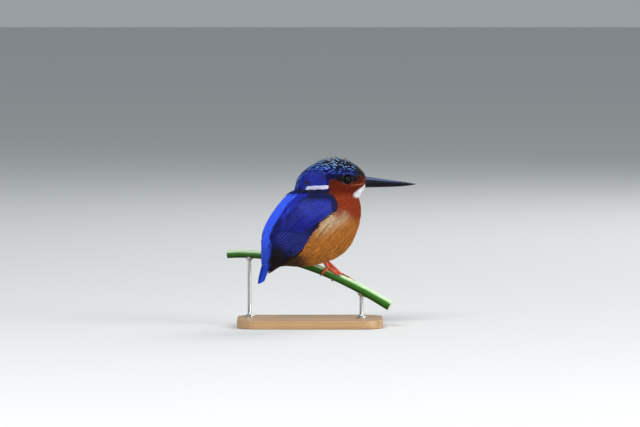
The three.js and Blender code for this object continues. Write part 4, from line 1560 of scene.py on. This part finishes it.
def bill_ring(x, level, reach, width, upper):
    """A ring round a half of the bill, over its arch and back along the mouth, and its colours."""
    side = np.cos(BILL_ARCH)
    rise = np.sin(BILL_ARCH) ** 1.15
    ridge = np.exp(-(side / 0.2) ** 2)
    gap = MOUTH["gap"] if upper else -MOUTH["gap"]
    y = width * side * (1 - 0.16 * rise**2)
    z = level + gap + (reach - gap) * rise * (1 - 0.05 * (1 - ridge) * rise)
    if upper:
        slot = np.exp(-((x - NOSTRIL["x"]) / NOSTRIL["half"]) ** 4 - ((rise - NOSTRIL["up"]) / 0.12) ** 2)
        groove = 0.12 * np.exp(-((rise - 0.5) / 0.1) ** 2) * (smooth(x, 33, 36) * (1 - smooth(x, 44, 52)))
        y = y - np.sign(side) * (NOSTRIL["depth"] * slot + groove) * np.abs(side)
    floor = np.empty((BILL_FLOOR, 3))
    floor[:, 0], floor[:, 2] = x, level + gap * 1.5
    floor[:, 1] = np.linspace(-width * 0.9, width * 0.9, BILL_FLOOR + 2)[1:-1]
    ring = np.concatenate([np.stack([np.full(len(y), x), y, z], 1), floor])
    colours = np.tile(mix(BILL_HORN, BILL_ROOT_TONE, 1 - smooth(x, 27, 33)), (len(ring), 1))
    if not upper:
        return ring[::-1], colours
    # painted sky reflection on the upper half: broad over its top, a thin band low on its side, fainter
    # towards the tip
    reflection = np.maximum(smooth(rise, 0.42, 0.6), 0.2 * (1 - smooth(np.abs(rise - 0.15), 0.03, 0.12)))
    colours[: len(y)] = mix(colours[: len(y)], BILL_SKY_REFLECTION, reflection * (1 - 0.6 * smooth(x, 46, 62)))
    return ring, colours


def mandible(name, upper):
    """One half of the bill: flat at the mouth, with a ridge along its other edge."""
    rows = np.array(BILL_ROWS, float)
    xs = np.concatenate([np.linspace(26, 60, 56), np.linspace(60.5, 64.15, 14)])
    low, top, half = (evened(np.interp(xs, rows[:, 0], column)) for column in rows[:, 1:].T)
    mouth = MOUTH["z"] - math.tan(MOUTH["fall"]) * (xs - MOUTH["x"])
    reach, half = (top - mouth, half) if upper else (low - mouth, half * 0.93)
    made = [bill_ring(*row, upper) for row in zip(xs, mouth, reach, half)]
    rings, colours = (np.array(part) for part in zip(*made))
    return loft(name, to_world(rings, HEAD_YAW), colours=colours)


def bill_look():
    """Glossy black horn, a little uneven, with faint lengthwise growth lines."""
    look = Look("bill_horn", Roughness=0.3, Specular_IOR_Level=0.14)
    lines = look.noise(1.0, vector=look.stretched((0.12, 1, 1)))
    look.tinted(lines, 0.7, 1.4)
    look.roughness(look.ramp(look.noise(0.8), 0.22, 0.42))
    look.bump(lines, 0.04)
    return look.material


# ---- eyes ----

EYE_TURN = math.radians(14)  # how far the eyes look ahead of straight sideways
EYE_OPENING = (2.1, 1.85)  # half width and half height of what the lids leave open
PUPIL = 1.15
CORNEA = {"radius": 1.75, "bulge": 0.16}
# Across the lids: radians out from the opening's edge, and millimetres off the ball.
LID_PROFILE = [(0.0, 0.02), (-0.02, 0.08), (0.0, 0.15), (0.05, 0.2), (0.11, 0.18), (0.15, 0.14),
               (0.2, 0.17), (0.28, 0.1), (0.38, -0.1), (0.5, -0.5), (0.35, -0.5), (0.15, -0.3)]


def eye_axes(side):
    """The way an eye looks, ahead of it and up, in the head's frame."""
    look = np.array([math.sin(EYE_TURN), side * math.cos(EYE_TURN), 0])
    return look, np.array([side * look[1], -side * look[0], 0]), np.array([0, 0, 1.0])


def around_eye(side, turn, slant, radius):
    """A place off the eye's middle: turn about the way it looks, slant off that way, and radius."""
    look, ahead, up = eye_axes(side)
    flat = np.cos(turn)[..., None] * ahead + np.sin(turn)[..., None] * up
    off = np.cos(slant)[..., None] * look + np.sin(slant)[..., None] * flat
    return eye_middle(side) + off * np.asarray(radius)[..., None]


def make_eyeball(side, name, look):
    """The ball with its cornea, and iris and pupil as its colours."""
    turns = full_turn(48)[::side]
    slants = np.radians(np.concatenate([np.linspace(1, 50, 25), np.linspace(55, 178, 18)]))
    across = EYE["radius"] * np.sin(slants)
    bulge = CORNEA["bulge"] * (1 - smooth(across, 0, CORNEA["radius"] * 1.1)) * (slants < math.pi / 2)
    rings = [around_eye(side, turns, slant, EYE["radius"] + up) for slant, up in zip(slants, bulge)]
    tone = mix(IRIS, PUPIL_BLACK, 1 - smooth(across, PUPIL - 0.08, PUPIL + 0.08))
    tone = mix(tone, PUPIL_BLACK, smooth(across, 1.75, 2.0))
    colours = np.repeat(tone[:, None], len(turns), 1)
    ball = loft(f"eyeball_{name}", to_world(np.array(rings), HEAD_YAW), colours=colours)
    place(ball, look, "eye", f"eye_{name}")


def make_lids(side, name, look):
    """The ring of the lids round an almond opening, with a rounded rim and a fold behind it."""
    turns = full_turn(72)[::side]
    wide, high = EYE_OPENING
    ellipse = wide * high / np.hypot(high * np.cos(turns), wide * np.sin(turns))
    corners = np.abs(np.cos(turns)) ** 8  # the opening runs to a point in front and behind
    opening = np.arcsin(ellipse / EYE["radius"]) + 0.07 * corners
    rings = [around_eye(side, turns, opening + slant, EYE["radius"] + up) for slant, up in LID_PROFILE]
    lids = ring_mesh(f"eyelids_{name}", to_world(np.array(rings).transpose(1, 0, 2), HEAD_YAW), LID)
    place(lids, look, "leg_skin")


def ring_mesh(name, grid, colour):
    """A closed ring of sections: the grid wraps round both ways."""
    count, sides = grid.shape[:2]
    i, j = np.meshgrid(np.arange(count), np.arange(sides), indexing="ij")
    a, b = i * sides + j, i * sides + (j + 1) % sides
    c, d = ((i + 1) % count) * sides + (j + 1) % sides, ((i + 1) % count) * sides + j
    quads = np.stack([a, d, c, b], -1).reshape(-1, 4)
    return make_mesh(name, grid.reshape(-1, 3), quads, colours=colour)


GAPE_FROM, GAPE_TO = (28.6, 58.7), (16.6, 58.2)  # x and z in the head's frame
GAPE_RADIUS = 0.26


def make_gape(ground, look):
    """The bare fold of skin that runs back from each corner of the mouth, just over the feathers."""
    folds = []
    for side in (1, -1):
        share = np.linspace(0, 1, 36)
        x, z = (start + (end - start) * share for start, end in zip(GAPE_FROM, GAPE_TO))
        points, normals = ground.drop(to_world(np.stack([x, np.full(36, 9.0 * side), z], 1), HEAD_YAW))
        line = smooth_line(points + normals * (coat_depth(points) + 0.05)[:, None], 6)
        radii = GAPE_RADIUS * np.sqrt(np.clip(1 - share**3, 0.02, 1))
        folds.append(loft("fold", tube_rings(line, radii, 12)))
    gape = joined("gape", folds)
    points = mesh_points(gape.data)[0]
    paint(gape.data, GAPE * (1 + 0.15 * waves(points, 1.5)[:, None]))
    place(gape, look, "leg_skin")


def eye_look():
    """A dark ball under a glossy cornea."""
    look = Look("eye", Roughness=0.2, Specular_IOR_Level=0.0,
                Coat_Weight=0.4, Coat_Roughness=0.02, Coat_IOR=1.38)
    look.tinted(look.noise(3), 0.5, 1.6)
    return look.material


def skin_fold_look():
    """Matt bare skin of lids and gape."""
    look = Look("eyelid", Roughness=0.65, Specular_IOR_Level=0.2)
    look.tinted(look.noise(5), 0.6, 1.4)
    look.bump(look.noise(7), 0.05)
    return look.material


# ---- feet ----

# Where each foot stands: along the stem from FEET, and degrees round it towards its own side.
STANCE = {-1: (2.8, 14), 1: (11.0, 42)}
ANKLE_BACK = {-1: 5.5, 1: 10.6}  # how far the ankle is behind the foot
# Each toe from where its foot stands: along the stem from and to, and degrees round it from and to.
TOES = [(0.6, 5.2, -6, -16), (0.8, 10.6, -2, 2), (0.4, 8.8, 10, 38), (-0.2, -2.4, 8, 104)]
TOE_RADIUS = 0.9
TOE_OFF = 0.62  # the toes' middle lines above the stem
LEG = {"ankle": 1.6, "tarsus": 1.3, "rise": 9.5, "spread": 1.6}
LEG_VOXEL = 0.13
SCUTE = 0.05  # how much wider scutes are in their middle, as a share of the radius
CLAW = {"length": 2.1, "radius": 0.42, "hook": 0.75, "gap": 0.3}


def by_stem(ahead, degrees, off):
    """A place by the stem: along it from FEET, round it from the top towards -Y, and off it."""
    share = stem_share(FEET[None])[0] + np.asarray(ahead) / STEM_LENGTH
    _, near, up = stem_axes(share)
    turn = np.radians(degrees)
    outward = np.cos(turn)[..., None] * up + np.sin(turn)[..., None] * near
    return stem_table_at(STEM_LINE, share) + (stem_radius(share) + off)[..., None] * outward


def by_foot(side, ahead, degrees, off):
    """The same from where a foot stands, round the stem towards the foot's own side."""
    foot_ahead, foot_turn = STANCE[side]
    return by_stem(foot_ahead + ahead, -side * (foot_turn + degrees), off)


def along_toe(side, toe, share, off):
    """Places along a toe at shares of its length, and so far off the stem."""
    start, end, turn_from, turn_to = toe
    return by_foot(side, start + (end - start) * share, turn_from + (turn_to - turn_from) * share, off)


def make_toe(side, toe):
    """A toe with its scutes and two pads, a little raised between them."""
    share = np.linspace(0, 1, 60)
    line = along_toe(side, toe, share, TOE_OFF + 0.25 * np.sin(math.pi * share))
    length = np.linalg.norm(np.diff(line, axis=0), axis=1).sum()
    scutes = SCUTE * np.abs(np.sin(math.pi * share * round(length / 0.75))) ** 0.5
    pads = 0.1 * (np.exp(-(((share - 0.36) / 0.1) ** 2)) + np.exp(-(((share - 0.7) / 0.09) ** 2)))
    radii = TOE_RADIUS * (1.12 - 0.38 * share) * (1 + pads + scutes - 0.03)
    radii[-4:] *= (0.97, 0.9, 0.78, 0.55)
    return loft("toe", tube_rings(line, radii, 18))


def make_tarsus(side):
    """The leg from inside the belly down to the ball of the foot, with its scutes."""
    ball, sole = by_foot(side, 0.0, 0.0, 1.0), by_foot(side, 2.2, 0.0, 0.7)
    ankle = ball + (-ANKLE_BACK[side], side * LEG["spread"], LEG["rise"])
    line = spline([ankle, ball + (ankle - ball) * 0.3, ball, sole], 70)
    share = np.linspace(0, 1, len(line))
    scutes = SCUTE * np.abs(np.sin(math.pi * share * 13)) ** 0.5
    radii = (LEG["ankle"] + (LEG["tarsus"] - LEG["ankle"]) * share) * (1 + scutes)
    return loft("tarsus", tube_rings(line, radii, 22))


def make_leg(side, name, look):
    """The tarsus and toes, merged into one skin."""
    parts = [make_toe(side, toe) for toe in TOES] + [make_tarsus(side)]
    leg = merged(f"foot_{name}", parts, LEG_VOXEL, 2)
    points, normals = mesh_points(leg.data)
    up = normals[:, 2:]
    # painted highlight on top and painted shade underneath, by which way the surface faces
    paint(leg.data, LEG_RED * (0.86 + 0.2 * up) * (1 + 0.12 * waves(points, 1.6)[:, None]))
    place(leg, look, "leg_skin", f"leg_{name}")


def make_claws(side, name, look):
    """A foot's claws, each running on from its toe and hooked down towards the stem."""
    parts = []
    for toe in TOES:
        start, end, turn_from, turn_to = toe
        toe_length = math.hypot(end - start, math.radians(turn_to - turn_from) * STEM_RADII[0])
        share = np.linspace(-0.25, 1, 24)
        onward = 1 + (CLAW["gap"] + CLAW["length"] * share) / toe_length
        hook = CLAW["hook"] * np.maximum(share, 0) ** 3
        line = along_toe(side, toe, onward, TOE_OFF + CLAW["gap"] + 0.2 * share - hook)
        radii = np.interp(share, [-0.25, 0, 1], [0.3, CLAW["radius"], 0.06])
        parts.append(loft("claw", tube_rings(line, radii, 14)))
    claws = joined(f"claws_{name}", parts)
    place(claws, look, "claw_horn", *(f"claw_{name}_{i + 1}" for i in range(len(TOES))))


def leg_look():
    """Orange-red skin with small round scales."""
    look = Look("leg_skin", Roughness=0.45,
                Subsurface_Weight=0.15, Subsurface_Radius=(0.001, 0.0004, 0.0002))
    scales = look.node("ShaderNodeTexVoronoi", "Distance", Vector=look.position(), Scale=2.6 / MM)
    look.tinted(look.noise(2), 0.8, 1.2)
    look.bump(scales, 0.05)
    return look.material


def claw_look():
    """Dark brown horn."""
    look = Look("claw_horn", Roughness=0.3)
    look.colour(look.ramp_colour(look.noise(1.5), srgb(44, 24, 20), srgb(84, 50, 40)))
    look.bump(look.noise(4), 0.02)
    return look.material


# ---- perch and stand ----

STEM_RIDGE = 0.12  # how far each of the three blunt edges stands out
STEM_RIBS = 30
RIB_HEIGHT = 0.025
CUT = {"bevel": 0.06, "pith": 0.9, "hollow": 0.02}  # pith: its radius over the stem's


def make_perch(look):
    """The sedge stem: three blunt edges, fine ribs, and pale pith where it is cut."""
    turns = full_turn(120)
    shares = np.concatenate([[0.0, 0.0], np.linspace(0.0006, 0.9994, 150), [1.0, 1.0]])
    way, near, up = stem_axes(shares)
    ribs = RIB_HEIGHT * np.abs(np.sin(turns * STEM_RIBS / 2))
    radii = stem_radius(shares)[:, None] + STEM_RIDGE * np.cos(3 * turns) + ribs - 0.02
    radii[[1, -2]] -= CUT["bevel"]
    radii[[0, -1]] *= CUT["pith"]
    flat = np.cos(turns)[None, :, None] * up[:, None] + np.sin(turns)[None, :, None] * near[:, None]
    rings = stem_table_at(STEM_LINE, shares)[:, None] + flat * radii[..., None]
    rings[0] -= way[0] * CUT["hollow"]
    upward = flat[..., 2]
    # painted highlight on the top and painted shade underneath, by which way the surface faces
    green = mix(STEM_GREEN, STEM_TOP_HIGHLIGHT, 0.9 * smooth(upward, 0.3, 0.75))
    green = mix(green, STEM_DARK, smooth(-upward, -0.1, 0.8))
    blotches = waves(rings.reshape(-1, 3) * (0.15, 1, 1), 2.5).reshape(upward.shape)
    green = green * (1 + 0.1 * blotches[..., None])
    green[[0, -1]] = PITH
    green[[1, -2]] = mix(STEM_DARK, PITH, 0.4)
    perch = loft("sedge_stem", rings[:, ::-1], colours=green[:, ::-1])
    place(perch, look, "green_stem", "perch")


def stem_look():
    """Waxy green skin with fine lengthwise streaks."""
    look = Look("green_stem", Roughness=0.38, Specular_IOR_Level=0.2)
    streaks = look.noise(1.2, vector=look.stretched((0.05, 1, 1)))
    look.tinted(streaks, 0.72, 1.3)
    look.roughness(look.ramp(look.noise(0.5), 0.3, 0.5))
    look.bump(streaks, 0.05)
    return look.material


BASE = {"length": 102, "depth": 62, "height": 6, "corner": 14, "bevel": 0.8}
ROD = {"radius": 1.3, "foot": 3.6, "foot_height": 2.4, "cup": 2.7, "cup_height": 3.4, "play": 0.3}
ROD_AT = {"left": -42.5, "right": 36}


def base_outline(inset, steps=16):
    """The plate's rounded outline, drawn in by an inset."""
    corner = BASE["corner"] - inset
    middle = np.array([BASE["length"], BASE["depth"]]) / 2 - BASE["corner"]
    points = []
    for quarter, way in enumerate([(1, 1), (-1, 1), (-1, -1), (1, -1)]):
        turn = (quarter + np.linspace(0, 1, steps)) * math.pi / 2
        points.append(middle * way + corner * np.stack([np.cos(turn), np.sin(turn)], 1))
    return np.concatenate(points)


def make_base(look):
    """A flat plate with softly rounded edges."""
    quarter = np.linspace(0, math.pi / 2, 7)
    rounding = BASE["bevel"] * (1 - np.sin(quarter))
    climb = BASE["bevel"] * (1 - np.cos(quarter))
    insets = np.concatenate([[6], rounding, rounding[::-1], [6]])
    levels = np.concatenate([[0], climb, BASE["height"] - climb[::-1], [BASE["height"]]])
    outlines = [base_outline(inset) for inset in insets]
    rings = [np.column_stack([line, np.full(len(line), z)]) for line, z in zip(outlines, levels)]
    place(loft("display_base", rings), look, "stand_wood", "stand_base")


def wood_look():
    """Oiled light oak: grain along the base, rays and pores."""
    look = Look("stand_wood", Roughness=0.42, Coat_Weight=0.15, Coat_Roughness=0.35)
    bands = look.noise(0.16, detail=2, vector=look.stretched((0.06, 1, 1.6)))
    pores = look.noise(2.2, detail=4, vector=look.stretched((0.04, 1, 1)))
    colour = look.ramp_colour(bands, srgb(146, 108, 70), srgb(196, 160, 116))
    look.colour(look.scaled(colour, look.ramp(pores, 0.72, 1.22)))
    look.roughness(look.ramp(pores, 0.34, 0.56))
    look.bump(pores, 0.06)
    return look.material


def make_rod(name, x, look):
    """A turned rod on a foot, with a cup that takes the stem's underside."""
    under = stem_table_at(STEM_LINE, np.interp(x, STEM_LINE[:, 0], STEM_SHARES))
    top = under[2] - BASE["height"]
    neck = top - ROD["cup_height"]
    foot, radius, cup = ROD["foot"], ROD["radius"], ROD["cup"]
    corners = [
        (0.02, 0), (foot - 0.15, 0), (foot, 0.15), (foot, 0.85), (foot - 0.15, 1.0), (radius + 0.9, 1.45),
        (radius + 0.25, 1.95), (radius, ROD["foot_height"]), (radius, neck - 1.4), (radius + 0.2, neck - 0.9),
        (cup - 0.25, neck - 0.1), (cup, neck + 0.3), (cup, top), (cup * 0.8, top), (cup * 0.5, top),
        (0.02, top),
    ]
    spans = [np.linspace(a, b, 5, endpoint=False) for a, b in zip(corners, corners[1:])]
    turns = full_turn(64)
    profile = np.concatenate([*spans, corners[-1:]])
    rings = [[(r * math.cos(t), r * math.sin(t), z) for t in turns] for r, z in profile]
    rings = np.array(rings) + (under[0], under[1], BASE["height"])
    for _ in range(60):  # the cup's top sinks until it is clear of the stem
        axis, stem = stem_at(rings)
        inside = np.linalg.norm(rings - axis, axis=-1) < stem + ROD["play"]
        rings[..., 2] -= 0.08 * inside
    place(loft(f"rod_{name}", rings), look, "stand_steel", f"stand_rod_{name}")


def steel_look():
    """Steel with fine turning marks."""
    look = Look("stand_steel", Roughness=0.3, Metallic=1.0, Anisotropic=0.4)
    marks = look.noise(1.5, vector=look.stretched((0.3, 0.3, 6)))
    look.colour(look.ramp_colour(marks, srgb(168, 168, 166), srgb(206, 206, 203)))
    look.roughness(look.ramp(marks, 0.22, 0.4))
    look.bump(marks, 0.01)
    return look.material


# ---- stage ----

PHOTO_WIDTH = 448.0  # millimetres that the picture spans at the bird
LENS, SENSOR = 300.0, 36.0
AIM = np.array([7.0, 0.0, FEET[2] + 38.15])
CAMERA_RISE = math.radians(3)


def make_camera():
    """A long lens that frames the bird as the photo does."""
    distance = PHOTO_WIDTH * LENS / SENSOR
    data = bpy.data.cameras.new("camera")
    data.lens = LENS
    data.sensor_width = SENSOR
    data.clip_end = 100
    camera = bpy.data.objects.new("camera", data)
    back = np.array([0, -math.cos(CAMERA_RISE), math.sin(CAMERA_RISE)])
    camera.location = (AIM + back * distance) * MM
    camera.rotation_euler = (math.pi / 2 - CAMERA_RISE, 0, 0)
    bpy.context.scene.collection.objects.link(camera)
    bpy.context.scene.camera = camera


def make_floor():
    """A pale floor that is wide enough for every view."""
    size = 12000
    corners = [(-size, -size, 0), (size, -size, 0), (size, size, 0), (-size, size, 0)]
    floor = make_mesh("floor", np.array(corners), [(0, 1, 2, 3)])
    look = Look("floor", Roughness=0.9, Base_Color=(0.66, 0.67, 0.66, 1))
    floor.data.materials.append(look.material)


def make_light(name, at, size, watts):
    """A square soft light that faces the bird from a place in metres."""
    data = bpy.data.lights.new(name, "AREA")
    data.size = size
    data.energy = watts
    light = bpy.data.objects.new(name, data)
    light.location = at
    aim = Vector(AIM * MM) - light.location
    light.rotation_euler = aim.to_track_quat("-Z", "Y").to_euler()
    bpy.context.scene.collection.objects.link(light)


def make_lights():
    """A soft key light from the left, a fill from the right, a rim light, and a pale sky."""
    make_light("key", (-0.7, -1.5, 1.7), 1.0, 40)
    make_light("fill", (1.6, -1.0, 0.6), 1.2, 30)
    make_light("rim", (0.9, 1.4, 1.3), 0.9, 16)
    world = bpy.data.worlds.new("world")
    world.use_nodes = True
    world.node_tree.nodes["Background"].inputs["Color"].default_value = (0.8, 0.86, 0.92, 1)
    world.node_tree.nodes["Background"].inputs["Strength"].default_value = 0.4
    bpy.context.scene.world = world
    bpy.context.scene.view_settings.view_transform = "Standard"


make_camera()
make_floor()
make_lights()
skin = make_skin()
place(skin, skin_look(), "breast_feathers", *FLESH)
soft = plume_look("soft_feathers", 0.85, 0.05, 0.08)
silky = plume_look("silky_feathers", 0.6, 0.03, 0.12)
firm = plume_look("firm_feathers", 0.55, 0.02, 0.1)
ground = Ground(skin)
make_neck_patch(ground, soft)
make_body_coat(skin, ground, {
    "crown": (firm, "crown_feathers"),
    "nape": (silky, "crown_feathers"),
    "face": (soft, "crown_feathers"),
    "white": (soft, "breast_feathers"),
    "back": (silky, "belly_feathers"),
    "belly": (soft, "breast_feathers"),
})
trunk_side = side_heights("trunk")
wing_floor = 0.4 + (trunk_side + WING_FLOAT + np.hypot(trunk_side - WING_FLOAT, 3)) / 2
wing_top = np.maximum(side_heights("wing_left", "flight_feathers_left"), wing_floor + 0.6)
back_top = np.maximum(side_heights("wing_left", "flight_feathers_left", "neck"), trunk_side)
for side, name in ((1, "left"), (-1, "right")):
    make_fringe("flank", side, name, ground, blurred(wing_top, 5), soft)
    make_fringe("scapular", side, name, ground, blurred(back_top, 4), silky)
    make_fringe("shoulder", side, name, ground, blurred(back_top, 3), silky)
    make_coverts(side, name, blurred(wing_top, 5), firm)
    make_flight(side, name, blurred(wing_floor, 3), firm)
make_tail(firm)
horn = bill_look()
place(mandible("upper_mandible", True), horn, "bill_horn", "bill_upper")
place(mandible("lower_mandible", False), horn, "bill_horn", "bill_lower")
eye, lid, scaly, claw = eye_look(), skin_fold_look(), leg_look(), claw_look()
make_gape(ground, lid)
for side, name in ((1, "left"), (-1, "right")):
    make_eyeball(side, name, eye)
    make_lids(side, name, lid)
    make_leg(side, name, scaly)
    make_claws(side, name, claw)
make_perch(stem_look())
make_base(wood_look())
steel = steel_look()
for name, x in ROD_AT.items():
    make_rod(name, x, steel)
